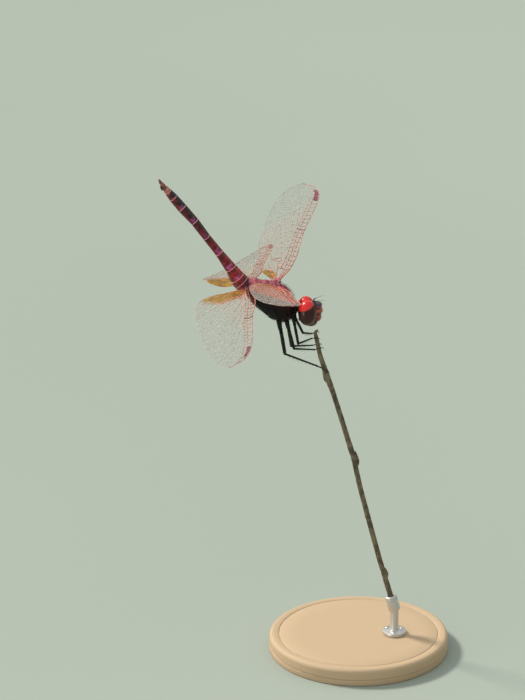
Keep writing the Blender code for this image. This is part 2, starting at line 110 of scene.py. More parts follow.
def circle(count: int) -> Array:
    """Angles of evenly spaced points round a circle."""
    return np.linspace(0, math.tau, count, endpoint=False)


def rings(first: Array, second: Array, sides: int) -> Array:
    """Unit rings round one pair of square directions, or round each row of them."""
    turn = circle(sides)[:, None]
    return np.cos(turn) * first[..., None, :] + np.sin(turn) * second[..., None, :]


ACROSS = vec(0, 1, 0)
UPRIGHT = vec(0, 0, 1)


def unit(vector: Array) -> Array:
    """The vector, or each row of vectors, at length one."""
    length = np.linalg.norm(vector, axis=-1, keepdims=True)
    return vector / np.maximum(length, 1e-12)


def spline(points: Sequence[Sequence[float]], shares: Array) -> Array:
    """Read a smooth curve through a row of points.

    Args:
        points: The points that the curve passes through.
        shares: Where to read it, from 0 at the first point to 1 at the last.

    Returns:
        One point for each share.
    """
    knots = np.asarray(points, float)
    spans = len(knots) - 1
    place = np.clip(np.asarray(shares, float) * spans, 0, spans - 1e-9)
    index = place.astype(int)
    f = (place - index)[:, None]
    ends = np.vstack([2 * knots[0] - knots[1], knots, 2 * knots[-1] - knots[-2]])
    p0, p1, p2, p3 = ends[index], ends[index + 1], ends[index + 2], ends[index + 3]
    return 0.5 * (2 * p1 + (p2 - p0) * f + (2 * p0 - 5 * p1 + 4 * p2 - p3) * f ** 2
                  + (3 * p1 - p0 - 3 * p2 + p3) * f ** 3)


def swell(value: Array, middle: float, width: float) -> Array:
    """A soft bump of height one at the middle, falling off over the width."""
    return np.exp(-((value - middle) / width) ** 2)


def step(value: Array, low: float, high: float) -> Array:
    """A smooth rise from 0 at low to 1 at high, or a fall if low is above high."""
    t = np.clip((value - low) / (high - low), 0, 1)
    return t * t * (3 - 2 * t)


def ripple(points: Array, length: float, seed: int) -> Array:
    """A smooth wavy value in -1 to 1 at each point.

    Args:
        points: Points in millimetres, one a row.
        length: About the distance from one crest to the next.
        seed: Picks the waves' directions.

    Returns:
        One value for each point.
    """
    dice = random.Random(seed)
    total = np.zeros(points.shape[:-1])
    for _ in range(5):
        way = vec(*(dice.gauss(0, 1) for _ in range(points.shape[-1])))
        way *= math.tau / length / max(np.linalg.norm(way), 1e-9) * dice.uniform(0.7, 1.4)
        total += np.sin(points @ way + dice.uniform(0, math.tau))
    return total / 5


def groove_distance(x: Array, z: Array, line: Sequence[Pair]) -> Array:
    """Distance in the side view from each point to a line of straight lengths.

    Args:
        x: The points' x.
        z: The points' z.
        line: Corners of the line as (x, z).

    Returns:
        The distances, shaped as x.
    """
    best = np.full(np.shape(x), np.inf)
    for (x0, z0), (x1, z1) in zip(line, line[1:]):
        dx, dz = x1 - x0, z1 - z0
        t = np.clip(((x - x0) * dx + (z - z0) * dz) / (dx * dx + dz * dz), 0, 1)
        best = np.minimum(best, np.hypot(x - x0 - t * dx, z - z0 - t * dz))
    return best


# ---- reading the frame ----
def node_box(node: str) -> tuple[Array, Array]:
    """Lowest and highest corner of a CAD node, in millimetres."""
    low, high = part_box(node)
    return np.array(low) / MM, np.array(high) / MM


def node_points(node: str) -> Array:
    """The corners of a CAD node's mesh, in millimetres.

    Args:
        node: The CAD node.

    Returns:
        One corner a row.
    """
    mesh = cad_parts[node].data
    points = np.zeros(len(mesh.vertices) * 3)
    mesh.vertices.foreach_get("co", points)
    return points.reshape(-1, 3) / MM


def cut_outline(node: str, at: Array, normal: Array) -> Array:
    """Cut a copy of a CAD node with a plane.

    Args:
        node: The CAD node.
        at: A point on the plane, in millimetres.
        normal: The plane's direction.

    Returns:
        The points of the cut, in millimetres.
    """
    form = bmesh.new()
    form.from_mesh(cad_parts[node].data)
    shape = form.verts[:] + form.edges[:] + form.faces[:]
    cut = bmesh.ops.bisect_plane(form, geom=shape, dist=1e-8, plane_co=Vector(at * MM),
                                 plane_no=Vector(normal))
    points = [np.array(part.co) / MM for part in cut["geom_cut"]
              if isinstance(part, bmesh.types.BMVert)]
    form.free()
    return np.array(points)


def long_axis(node: str, near: Array) -> tuple[Array, Array, Array]:
    """Find the long direction of a CAD node.

    Args:
        node: The CAD node.
        near: A point close to the end that the direction leads away from.

    Returns:
        The node's centre, the direction, and how far each of its corners lies along it.
    """
    points = node_points(node)
    centre = points.mean(0)
    axis = np.linalg.svd(points - centre)[2][0]
    if (centre - near) @ axis < 0:
        axis = -axis
    return centre, axis, (points - centre) @ axis


def middle_line(node: str, near: Array, count: int) -> tuple[Array, Array]:
    """Read the middle line of a long CAD node from cuts across it.

    Args:
        node: The CAD node.
        near: A point close to the end where the line starts.
        count: How many cuts to make.

    Returns:
        The middle of each cut, and its mean radius.
    """
    centre, axis, reach = long_axis(node, near)
    middles, radii = [], []
    for place in np.linspace(reach.min(), reach.max(), count + 2)[1:-1]:
        outline = cut_outline(node, centre + axis * place, axis)
        middle = (outline.min(0) + outline.max(0)) / 2
        middles.append(middle)
        radii.append(np.linalg.norm(outline - middle, axis=1).mean())
    return np.array(middles), np.array(radii)


# ---- meshes ----
def side_frames(path: Array) -> tuple[Array, Array]:
    """Two directions square to a path at each of its points, without twist.

    Args:
        path: The points of the path.

    Returns:
        The two directions, one row for each point.
    """
    ahead = unit(np.gradient(path, axis=0))
    first = np.cross(ahead[0], vec(0, 0, 1) if abs(ahead[0][2]) < 0.9 else vec(1, 0, 0))
    firsts = []
    for way in ahead:
        first = unit(first - way * (first @ way))
        firsts.append(first)
    firsts = np.array(firsts)
    return firsts, np.cross(ahead, firsts)


def unrolled(rows: int, columns: int) -> Array:
    """Plane coordinates, 0 to 1 along and round, of a wrapped grid of points."""
    return np.stack(np.meshgrid(np.linspace(0, 1, rows), np.linspace(0, 1, columns + 1), indexing="ij"), -1)


class Draft:
    """Points and faces of one piece, in millimetres, before they are a mesh."""

    def __init__(self) -> None:
        """Start with no points."""
        self.points: list[Array] = []
        self.faces: list[list[int]] = []
        self.plane: list[Array] = []
        self.count = 0

    def add(self, points: Array, faces: Sequence[Sequence[int]], plane: Array,
            places: Sequence[Sequence[int]] | None = None) -> None:
        """Add points and faces that count from the first of them.

        Args:
            points: The new points.
            faces: Point numbers of each face.
            plane: Plane coordinates.
            places: For each face, the numbers of its plane coordinates; as its points if left out.
        """
        self.points.append(points.reshape(-1, 3))
        flat = plane.reshape(-1, 2)
        self.plane += [flat[list(face)] for face in (places or faces)]
        self.faces += [[index + self.count for index in face] for face in faces]
        self.count += len(self.points[-1])

    def sheet(self, points: Array, plane: Array, closed: bool = True) -> None:
        """Add a grid of points.

        Args:
            points: Rows by columns by 3.
            plane: Rows by columns by 2, with one more column if it is closed.
            closed: Join the last column to the first, and face the first and the last row.
        """
        rows, columns = points.shape[:2]
        wide = plane.shape[1]
        cells = [(r, c) for r in range(rows - 1) for c in range(columns if closed else columns - 1)]

        def corners(width: int) -> list[list[int]]:
            """The four corners of every cell in a grid of the width."""
            return [[r * width + c, r * width + (c + 1) % width, (r + 1) * width + (c + 1) % width,
                     (r + 1) * width + c] for r, c in cells]

        faces, places = corners(columns), corners(wide)
        for row in (0, rows - 1) if closed else ():
            faces.append([row * columns + c for c in range(columns)])
            places.append([row * wide + c for c in range(columns)])
        self.add(points, faces, plane, places)

    def slab(self, top: Array, bottom: Array, plane: Array) -> None:
        """Add two grids of points joined round their border into a closed plate.

        Args:
            top: Rows by columns by 3.
            bottom: The same for the other face.
            plane: Rows by columns by 2.
        """
        rows, columns = top.shape[:2]
        size = rows * columns
        grid = np.arange(size).reshape(rows, columns)
        faces = []
        for base in (grid, grid + size):
            quads = np.stack([base[:-1, :-1], base[:-1, 1:], base[1:, 1:], base[1:, :-1]], -1)
            faces += quads.reshape(-1, 4).tolist()
        border = np.concatenate([grid[0], grid[1:, -1], grid[-1, -2::-1], grid[-2:0:-1, 0]])
        after = np.roll(border, -1)
        faces += np.stack([border, after, after + size, border + size], -1).tolist()
        flat = plane.reshape(-1, 2)
        self.add(np.vstack([top.reshape(-1, 3), bottom.reshape(-1, 3)]), faces, np.vstack([flat, flat]))

    def tube(self, path: Array, radii: Array | float, sides: int = 8,
             plane: Array | None = None, flat: float = 1.0) -> None:
        """Add a tube with closed ends round a path.

        Args:
            path: The points of its middle line.
            radii: The radius at each point.
            sides: How many sides it has.
            plane: Plane coordinates of each path point; along and round if left out.
            flat: Thickness across its second direction, as a share of the first.
        """
        path = np.asarray(path, float)
        radii = np.broadcast_to(radii, len(path))
        first, second = side_frames(path)
        points = path[:, None] + rings(first, second * flat, sides) * radii[:, None, None]
        if plane is None:
            plane = unrolled(len(path), sides)
        else:
            plane = np.repeat(np.asarray(plane)[:, None], sides + 1, axis=1)
        self.sheet(points, plane)

    def ball(self, centre: Array, axes: Sequence[float], turn: Array | None = None,
             sides: int = 16, shape: Callable[[Array], Array] | None = None) -> None:
        """Add a closed rounded form.

        Args:
            centre: Its middle.
            axes: Its three half axes.
            turn: Rows that the half axes lie along; X, Y and Z if left out.
            sides: How many sides it has; it has three quarters as many rings.
            shape: Moves the points of the unit ball before they are scaled.
        """
        rings = max(4, sides * 3 // 4)
        fall = np.linspace(0.03, math.pi - 0.03, rings)
        a, b = np.meshgrid(fall, circle(sides), indexing="ij")
        ball = np.stack([np.sin(a) * np.cos(b), np.sin(a) * np.sin(b), np.cos(a)], -1)
        if shape is not None:
            ball = shape(ball)
        points = ball * np.asarray(axes, float)
        if turn is not None:
            points = points @ np.asarray(turn)
        self.sheet(points + centre, unrolled(rings, sides)[..., ::-1] * (1, -1) + (0, 1))

    def spike(self, root: Array, tip: Array, radius: float, bend: Array,
              sides: int = 4) -> None:
        """Add a thin pointed spine that bends on its way to the tip.

        Args:
            root: Middle of its foot.
            tip: Its tip.
            radius: Radius of its foot.
            bend: Which way and how far it bends.
            sides: How many sides it has.
        """
        shares = np.array([0.0, 0.35, 0.7, 1.0])
        path = root + np.outer(shares, tip - root) + np.outer(shares * (1 - shares), bend) * 2
        self.tube(path, radius * np.array([1.0, 0.75, 0.45, 0.08]), sides)

    def build(self, name: str, finish: "Finish", map_name: str = PLANE_MAP,
              crease: float = 50.0) -> Object:
        """Turn the draft into an object.

        Args:
            name: The piece's name.
            finish: Its finish.
            map_name: The name of the map that holds the plane coordinates.
            crease: Edges sharper than this angle, in degrees, are not smoothed.

        Returns:
            The new object, linked to the scene.
        """
        mesh = bpy.data.meshes.new(name)
        mesh.from_pydata((np.vstack(self.points) * MM).tolist(), [], self.faces)
        layer = mesh.uv_layers.new(name=map_name)
        layer.data.foreach_set("uv", np.vstack(self.plane).ravel())
        form = bmesh.new()
        form.from_mesh(mesh)
        bmesh.ops.recalc_face_normals(form, faces=form.faces[:])
        form.to_mesh(mesh)
        form.free()
        mesh.shade_smooth()
        mesh.set_sharp_from_angle(angle=math.radians(crease))
        mesh.materials.append(finish.material())
        piece = bpy.data.objects.new(name, mesh)
        bpy.context.scene.collection.objects.link(piece)
        return piece

    def place(self, name: str, finish: "Finish", slot: str, *nodes: str, **options: object) -> Object:
        """Build the piece, join it to the frame and report it.

        Args:
            name: The piece's name.
            finish: Its finish.
            slot: Not used.
            *nodes: The CAD nodes that it stands for.
            **options: What else build takes.

        Returns:
            The new object.
        """
        piece = self.build(name, finish, **options)
        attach(piece, "root")
        if nodes:
            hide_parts(*nodes)
        LOG.info("%s: %d faces, for %s", name, len(piece.data.polygons), ", ".join(nodes) or "detail")
        return piece


# ---- node trees ----
class Value:
    """What a socket gives, ready to be reckoned with."""

    def __init__(self, graph: "Graph", socket: Socket) -> None:
        """Hold the socket and the graph that it is in."""
        self.graph = graph
        self.socket = socket

    def __add__(self, other: object) -> "Value":
        """The sum of both."""
        return self.graph.maths("ADD", self, other)

    def __sub__(self, other: object) -> "Value":
        """The other taken from this one."""
        return self.graph.maths("SUBTRACT", self, other)

    def __mul__(self, other: object) -> "Value":
        """Both multiplied."""
        return self.graph.maths("MULTIPLY", self, other)

    def __abs__(self) -> "Value":
        """The value without its sign."""
        return self.graph.maths("ABSOLUTE", self)


class Graph:
    """A node tree with short calls for placing nodes and joining them."""

    def __init__(self, tree: bpy.types.NodeTree) -> None:
        """Work on the given tree."""
        self.tree = tree

    def feed(self, socket: Socket, value: object) -> None:
        """Join a value to an input, or set it; a plain colour is 0 to 255 a channel.

        Args:
            socket: The input.
            value: A value of this tree, or a plain one.
        """
        if isinstance(value, Value):
            self.tree.links.new(value.socket, socket)
        else:
            socket.default_value = tint(value) if socket.type == "RGBA" else value

    def fill(self, node: Node, values: dict[str, object]) -> None:
        """Feed several inputs of a node, by name with _ for each space."""
        for name, value in values.items():
            self.feed(node.inputs[name.replace("_", " ")], value)

    def gives(self, node: Node) -> Outputs:
        """What a node gives, by number and by name."""
        values = [Value(self, output) for output in node.outputs]
        return dict(enumerate(values)) | {value.socket.name: value for value in reversed(values)}

    def node(self, kind: str, inputs: dict | None = None, **settings: object) -> Outputs:
        """Place a node.

        Args:
            kind: Its type, without the ShaderNode in front.
            inputs: Values for its inputs, by name or number.
            **settings: Its other settings.

        Returns:
            What it gives, by number and by name.
        """
        made = self.tree.nodes.new("ShaderNode" + kind)
        for key, value in settings.items():
            setattr(made, key, value)
        for key, value in (inputs or {}).items():
            self.feed(made.inputs[key], value)
        return self.gives(made)

    def maths(self, operation: str, *values: object, **settings: object) -> Value:
        """The result of a Math node on the values."""
        return self.node("Math", dict(enumerate(values)), operation=operation, **settings)[0]

    def vector(self, operation: str, first: Value, second: object) -> Outputs:
        """What a Vector Math node gives for the two values."""
        other = "Scale" if operation == "SCALE" else 1
        return self.node("VectorMath", {0: first, other: second}, operation=operation)

    def split(self, vector: Value) -> Outputs:
        """The three parts of a vector, by number."""
        return self.node("SeparateXYZ", {0: vector})

    def blend(self, share: object, first: object, second: object, way: str = "MIX") -> Value:
        """The colour between two colours at a share."""
        return self.node("Mix", {0: share, 6: first, 7: second}, data_type="RGBA", blend_type=way)[2]

    def remap(self, value: Value, low: object, high: object, to_low: float = 0.0,
              to_high: float = 1.0) -> Value:
        """The value moved smoothly from one range to another, and kept in it."""
        ends = {"Value": value, "From Min": low, "From Max": high, "To Min": to_low, "To Max": to_high}
        return self.node("MapRange", ends, interpolation_type="SMOOTHSTEP")[0]

    def band(self, value: Value, low: float, high: float, soft: float) -> Value:
        """One between the two values, falling off softly outside them."""
        return self.remap(value, low - soft, low) * self.remap(value, high + soft, high)

    def ramp(self, share: Value, stops: Stops) -> Value:
        """The colour of a ramp with the given stops.

        Args:
            share: Where to read it.
            stops: Each stop's place and colour.

        Returns:
            The colour read.
        """
        made = self.tree.nodes.new("ShaderNodeValToRGB")
        self.feed(made.inputs[0], share)
        row = made.color_ramp.elements
        while len(row) < len(stops):
            row.new(0.5)
        for element, (position, colour) in zip(row, stops):
            element.position = position
            element.color = tint(colour)
        return self.gives(made)[0]

    def millimetres(self) -> Value:
        """The surface point in millimetres of the frame."""
        return self.vector("SCALE", self.node("TexCoord")["Object"], 1 / MM)[0]

    def plane(self) -> tuple[Value, Value]:
        """The piece's two plane coordinates."""
        parts = self.split(self.node("UVMap", uv_map=PLANE_MAP)[0])
        return parts[0], parts[1]

    def noise(self, vector: Value, scale: object, detail: float = 3.0) -> Value:
        """A noise value, 0 to 1."""
        return self.node("TexNoise", {"Vector": vector, "Scale": scale, "Detail": detail})[0]

    def cells(self, vector: Value, scale: object) -> Value:
        """The distance from the middle of the nearest scattered cell."""
        return self.node("TexVoronoi", {"Vector": vector, "Scale": scale})["Distance"]

    def bump(self, height: Value, depth: float) -> Value:
        """A normal from a height of 0 to 1 that stands for the depth in millimetres."""
        return self.node("Bump", {"Height": height, "Distance": depth * MM})[0]


@dataclass(frozen=True)
class Effect:
    """A shader node group that is built once and placed in many materials."""

    name: str
    inputs: tuple[tuple[str, str, object], ...]
    outputs: tuple[tuple[str, str], ...]
    body: Callable[[Graph, Outputs], dict[str, Value]]

    def tree(self) -> bpy.types.NodeTree:
        """The group's tree, built at its first use.

        Returns:
            The tree.
        """
        if self.name in bpy.data.node_groups:
            return bpy.data.node_groups[self.name]
        tree = bpy.data.node_groups.new(self.name, "ShaderNodeTree")
        for name, kind, value in self.inputs:
            socket = tree.interface.new_socket(name=name, in_out="INPUT", socket_type="NodeSocket" + kind)
            socket.default_value = tint(value) if kind == "Color" else value
        for name, kind in self.outputs:
            tree.interface.new_socket(name=name, in_out="OUTPUT", socket_type="NodeSocket" + kind)
        graph = Graph(tree)
        given = graph.gives(tree.nodes.new("NodeGroupInput"))
        graph.fill(tree.nodes.new("NodeGroupOutput"), self.body(graph, given))
        return tree

    def use(self, graph: Graph, **values: object) -> Outputs:
        """Place the group in a material.

        Args:
            graph: The material's graph.
            **values: Its inputs by name.

        Returns:
            What it gives, by name.
        """
        made = graph.tree.nodes.new("ShaderNodeGroup")
        made.node_tree = self.tree()
        graph.fill(made, values)
        return graph.gives(made)


# ---- effects shared by finishes ----
def grain_body(graph: Graph, given: Outputs) -> dict[str, Value]:
    """Fine pits over soft waves, as on hardened skin.

    Args:
        graph: The group's graph.
        given: What its inputs give.

    Returns:
        What its outputs get, by name.
    """
    point = graph.millimetres()
    pits = graph.cells(point, given["Scale"] * 3.1)
    return {"Height": graph.noise(point, given["Scale"]) * 0.6 + pits * 0.4,
            "Pits": graph.remap(pits, 0.05, 0.4, 1.0, 0.0)}


def mottle_body(graph: Graph, given: Outputs) -> dict[str, Value]:
    """Two colours in soft irregular patches."""
    share = graph.remap(graph.noise(graph.millimetres(), given["Scale"], 5.0), 0.38, 0.62)
    return {"Share": share, "Color": graph.blend(share, given["Dark"], given["Light"])}


def wax_body(graph: Graph, given: Outputs) -> dict[str, Value]:
    """A thin powdery wax that breaks up at its edges.

    Args:
        graph: The group's graph.
        given: What its inputs give.

    Returns:
        What its outputs get, by name.
    """
    worn = graph.remap(graph.noise(graph.millimetres(), given["Scale"], 6.0), 0.3, 0.65)
    share = graph.maths("MULTIPLY", worn, given["Amount"], use_clamp=True)
    return {"Share": share, "Color": graph.blend(share, given["Base"], given["Wax"])}


def patch_body(graph: Graph, given: Outputs) -> dict[str, Value]:
    """A round patch with a ragged, soft edge.

    Args:
        graph: The group's graph.
        given: What its inputs give.

    Returns:
        What its outputs get, by name.
    """
    gap = graph.vector("DISTANCE", given["Vector"], given["Centre"])["Value"]
    reach = gap + (graph.noise(graph.millimetres(), 1.6) - 0.5) * given["Ragged"]
    inner = given["Radius"] - given["Soft"]
    return {"Mask": graph.remap(reach, inner, given["Radius"], 1.0, 0.0)}


def streak_body(graph: Graph, given: Outputs) -> dict[str, Value]:
    """Long fibres: noise drawn out along one direction.

    Args:
        graph: The group's graph.
        given: What its inputs give.

    Returns:
        What its outputs get, by name.
    """
    drawn = graph.vector("MULTIPLY", given["Vector"], given["Stretch"])[0]
    value = graph.noise(drawn, given["Scale"], 6.0)
    return {"Height": value, "Mask": graph.remap(value, 0.4, 0.62)}


COLOUR_AND_SHARE = (("Color", "Color"), ("Share", "Float"))
GRAIN = Effect("cuticle_grain", (("Scale", "Float", 4.0),), (("Height", "Float"), ("Pits", "Float")),
               grain_body)
MOTTLE = Effect("mottle", (("Light", "Color", 200), ("Dark", "Color", 60), ("Scale", "Float", 1.0)),
                COLOUR_AND_SHARE, mottle_body)
WAX = Effect("wax_bloom", (("Base", "Color", (40, 10, 20)), ("Wax", "Color", (180, 140, 190)),
                           ("Amount", "Float", 0.5), ("Scale", "Float", 2.0)), COLOUR_AND_SHARE, wax_body)
PATCH = Effect("ragged_patch", (("Vector", "Vector", (0, 0, 0)), ("Centre", "Vector", (0, 0, 0)),
                                ("Radius", "Float", 1.0), ("Soft", "Float", 0.3), ("Ragged", "Float", 0.5)),
               (("Mask", "Float"),), patch_body)
STREAKS = Effect("fibre_streaks", (("Vector", "Vector", (0, 0, 0)), ("Stretch", "Vector", (1, 1, 1)),
                                   ("Scale", "Float", 1.0)),
                 (("Height", "Float"), ("Mask", "Float")), streak_body)


# ---- finishes ----
@dataclass(frozen=True)
class Finish:
    """What every finish has: a name, a roughness and a material made once."""

    name: str
    roughness: float = 0.4

    def material(self) -> bpy.types.Material:
        """The finish's material, made at its first use.

        Returns:
            The material.
        """
        if self.name in bpy.data.materials:
            return bpy.data.materials[self.name]
        made = bpy.data.materials.new(self.name)
        made.use_nodes = True
        graph = Graph(made.node_tree)
        inputs = {"Roughness": self.roughness} | self.dress(graph)
        graph.fill(made.node_tree.nodes["Principled BSDF"], inputs)
        return made

    def dress(self, graph: Graph) -> dict[str, object]:
        """Values for the shader's inputs, by name with _ for each space."""
        raise NotImplementedError


@dataclass(frozen=True)
class ShellFinish(Finish):
    """Hardened insect skin: two mottled tones, powdery wax, fine pits."""

    light: Colour = (90, 40, 45)
    dark: Colour = (25, 12, 14)
    wax: Colour = (170, 120, 170)
    wax_amount: float = 0.0
    patch_scale: float = 1.2
    grain: float = 5.0
    depth: float = 0.02
    coat: float = 0.0
    shine: float = 0.3

    def tones(self, graph: Graph) -> Outputs:
        """The two mottled tones."""
        return MOTTLE.use(graph, Light=self.light, Dark=self.dark, Scale=self.patch_scale)

    def dress(self, graph: Graph) -> dict[str, object]:
        """Mottle the colour, lay the wax on it and pit the surface."""
        return self.coated(graph, self.tones(graph)["Color"], self.wax_amount)

    def coated(self, graph: Graph, colour: Value, amount: object) -> dict[str, object]:
        """Lay wax and pits over a colour.

        Args:
            graph: The material's graph.
            colour: The colour under the wax.
            amount: How much wax there is.

        Returns:
            Values for the shader's inputs.
        """
        wax = WAX.use(graph, Base=colour, Wax=self.wax, Amount=amount, Scale=2.5)
        grain = GRAIN.use(graph, Scale=self.grain)
        rough = wax["Share"] * 0.35 + self.roughness + grain["Pits"] * 0.08
        return {"Base_Color": wax["Color"], "Roughness": rough,
                "Normal": graph.bump(grain["Height"], self.depth),
                "Specular_IOR_Level": self.shine, "Coat_Weight": self.coat, "Coat_Roughness": 0.15}


@dataclass(frozen=True)
class ForeheadFinish(ShellFinish):
    """The forehead: dark metallic violet above, red towards its lower edge."""

    hem: Colour = (176, 40, 36)
    hem_top: float = 0.58
    hem_soft: float = 0.12

    def dress(self, graph: Graph) -> dict[str, object]:
        """Shade from the lower edge up.

        Args:
            graph: The material's graph.

        Returns:
            Values for the shader's inputs.
        """
        tone = self.tones(graph)
        level = graph.split(graph.node("TexCoord")["Generated"])[2] + tone["Share"] * 0.1
        upper = graph.remap(level, self.hem_top - self.hem_soft, self.hem_top + self.hem_soft)
        return self.coated(graph, graph.blend(upper, self.hem, tone["Color"]), self.wax_amount)


@dataclass(frozen=True)
class ThoraxFinish(ShellFinish):
    """The thorax: violet wax above, crimson-brown sides, black below.

    Each edge gives where a tone starts and ends, from 0 on the back to 0.5
    on the belly.
    """

    top: Colour = (150, 52, 72)
    below: Colour = (16, 12, 15)
    wax_edge: Pair = (0.04, 0.2)
    top_edge: Pair = (0.09, 0.17)
    below_edge: Pair = (0.2, 0.3)

    def dress(self, graph: Graph) -> dict[str, object]:
        """Shade from the back to the belly.

        Args:
            graph: The material's graph.

        Returns:
            Values for the shader's inputs.
        """
        tone = self.tones(graph)
        height = abs(graph.plane()[1] - 0.5) + (tone["Share"] - 0.5) * 0.05
        upper = graph.blend(graph.remap(height, *self.top_edge), self.top, tone["Color"])
        colour = graph.blend(graph.remap(height, *self.below_edge), upper, self.below)
        return self.coated(graph, colour, graph.remap(height, *self.wax_edge, self.wax_amount, 0.0))


@dataclass(frozen=True)
class AbdomenFinish(ShellFinish):
    """The abdomen: crimson, with violet wax spots near its base that are partly real bloom and partly
    painted highlights, and black on top near its tip.

    The stops run along it.  Sides run from 0 on the back to 1 on the belly,
    and shares along each segment.
    """

    bands: Stops = ()
    waxed: Stops = ()
    blackened: Stops = ()
    amber: Stops = ()
    black: Colour = (14, 8, 10)
    belly: Colour = (120, 62, 34)
    belly_side: Pair = (0.5, 0.75)
    black_side: Pair = (0.28, 0.5)
    ring_share: Pair = (0.8, 0.93)
    line_side: Triple = (0.7, 0.76, 0.03)
    wax_highlight_share: Triple = (0.08, 0.24, 0.12)
    spot_side: Triple = (0.3, 0.46, 0.16)

    def dress(self, graph: Graph) -> dict[str, object]:
        """Colour by segment along it, and by height round it.

        Args:
            graph: The material's graph.

        Returns:
            Values for the shader's inputs.
        """
        along, turn = graph.plane()
        tone = MOTTLE.use(graph, Light=255, Dark=(150, 120, 130), Scale=1.6)
        side = abs(turn - 0.5) * 2.0 + (tone["Share"] - 0.5) * 0.12
        share = graph.maths("FRACT", along * 10.0)
        colour = graph.blend(1.0, graph.ramp(along, self.bands), tone["Color"], "MULTIPLY")
        under = graph.remap(side, *self.belly_side) * graph.ramp(along, self.amber)
        colour = graph.blend(under, colour, self.belly)
        dark = graph.remap(side, *self.black_side, 1.0, 0.0) * graph.ramp(along, self.blackened)
        dark = graph.maths("MAXIMUM", dark, graph.remap(share, *self.ring_share) * 0.55)
        dark = graph.maths("MAXIMUM", dark, graph.band(side, *self.line_side) * 0.7)
        colour = graph.blend(dark, colour, self.black)
        # Small violet spots near the front of each segment on its upper flank: real wax bloom, placed and
        # brightened as painted highlights.
        spot = graph.band(share, *self.wax_highlight_share) * graph.band(side, *self.spot_side)
        return self.coated(graph, colour, spot * graph.ramp(along, self.waxed) * self.wax_amount)


@dataclass(frozen=True)
class EyeFinish(Finish):
    """A compound eye: a red cap over a dark lower part, with fine facets, and a painted reflection of the
    grey-green floor along its underside.
    """

    centre: Triple = (0.0, 0.0, 0.0)
    cap: Triple = (0.0, 0.0, 1.0)
    cap_edge: float = 0.5
    floor_reflection_drop: Pair = (-1.15, -1.75)
    facet: float = 26.0               # facets to a millimetre
    red: Colour = (252, 58, 50)
    deep: Colour = (232, 46, 48)
    lower: Colour = (54, 13, 9)
    # painted reflection: the grey-green floor mirrored low on the eye, laid into its colour
    belly: Colour = (74, 66, 44)

    def dress(self, graph: Graph) -> dict[str, object]:
        """Part the cap from the lower eye and raise the facets.

        Args:
            graph: The material's graph.

        Returns:
            Values for the shader's inputs.
        """
        point = graph.millimetres()
        offset = graph.vector("SUBTRACT", point, self.centre)[0]
        cap = graph.vector("DOT_PRODUCT", offset, self.cap)["Value"] - self.cap_edge
        cap = cap + (graph.noise(point, 1.4) - 0.5) * 0.08
        red = graph.blend(graph.remap(cap, 0.05, 0.4), self.red, self.deep)
        # Low on the eye the dark lower colour gives way to the painted reflection of the floor.
        dark = graph.blend(graph.remap(graph.split(offset)[2], *self.floor_reflection_drop), self.lower, self.belly)
        colour = graph.blend(graph.remap(cap, -0.05, 0.05), dark, red)
        facets = graph.cells(point, self.facet)
        return {"Base_Color": graph.blend(graph.remap(facets, 0.35, 0.6, 0.0, 0.35), colour, self.lower),
                "Roughness": graph.remap(facets, 0.1, 0.6, self.roughness, self.roughness + 0.12),
                "Normal": graph.bump(facets, -0.003),
                "Specular_IOR_Level": 0.2, "Coat_Weight": 0.32, "Coat_Roughness": 0.22}


@dataclass(frozen=True)
class MembraneFinish(Finish):
    """Wing film: clear, faintly milky, with an amber patch beside the body."""

    amber_centre: Triple = (0.0, 0.0, 0.0)
    amber_radius: float = 4.0
    film: Colour = (152, 128, 124)
    blush: Colour = (190, 98, 82)
    amber: Colour = (160, 128, 36)
    opacity: float = 0.05
    amber_opacity: float = 0.75
    blush_line: Pair = (1.45, 21.5)
    sheen: float = 0.72

    def dress(self, graph: Graph) -> dict[str, object]:
        """Clear film that stains amber near the root and shines where it is seen edge on.

        Args:
            graph: The material's graph.

        Returns:
            Values for the shader's inputs.
        """
        spread = graph.vector("SCALE", graph.node("UVMap", uv_map=PLANE_MAP)[0], WING_MAP)[0]
        patch = PATCH.use(graph, Vector=spread, Centre=self.amber_centre, Radius=self.amber_radius,
                          Soft=self.amber_radius * 0.35, Ragged=self.amber_radius * 0.4)["Mask"]
        stain = MOTTLE.use(graph, Light=self.amber, Dark=(134, 94, 28), Scale=1.1)["Color"]
        flat = graph.split(spread)
        slope, reach = self.blush_line
        level = flat[0] + flat[1] * slope + graph.noise(spread, 0.5) * 2.0
        front = graph.remap(level, reach, reach + 2.0, 1.0, 0.0)
        # Where the film is seen edge on it turns opaque in its own colour: a painted sheen that stands in
        # for its grazing reflection.
        edge_on = graph.node("LayerWeight", {"Blend": 0.12})["Facing"]
        shine = graph.remap(edge_on, 0.28, 0.5) * (front * 0.18 + self.sheen)
        return {"Base_Color": graph.blend(patch, graph.blend(front, self.film, self.blush), stain),
                "Alpha": graph.maths("MAXIMUM", patch * self.amber_opacity + self.opacity, shine),
                "Normal": graph.bump(graph.noise(graph.millimetres(), 2.2, 4.0), 0.02),
                "Specular_IOR_Level": 0.35}


@dataclass(frozen=True)
class VeinFinish(Finish):
    """Wing veins: one tone beside the body, another towards the tip."""

    root: Colour = (226, 92, 62)
    middle: Colour = (238, 140, 128)
    tip: Colour = (150, 96, 88)

    def dress(self, graph: Graph) -> dict[str, object]:
        """Shade along the span and roughen slightly.

        Args:
            graph: The material's graph.

        Returns:
            Values for the shader's inputs.
        """
        tone = graph.ramp(graph.plane()[0], ((0.02, self.root), (0.3, self.middle), (0.85, self.tip)))
        speck = MOTTLE.use(graph, Light=255, Dark=(190, 170, 170), Scale=2.0)["Color"]
        return {"Base_Color": graph.blend(1.0, tone, speck, "MULTIPLY"),
                "Normal": graph.bump(GRAIN.use(graph, Scale=8.0)["Height"], 0.01)}


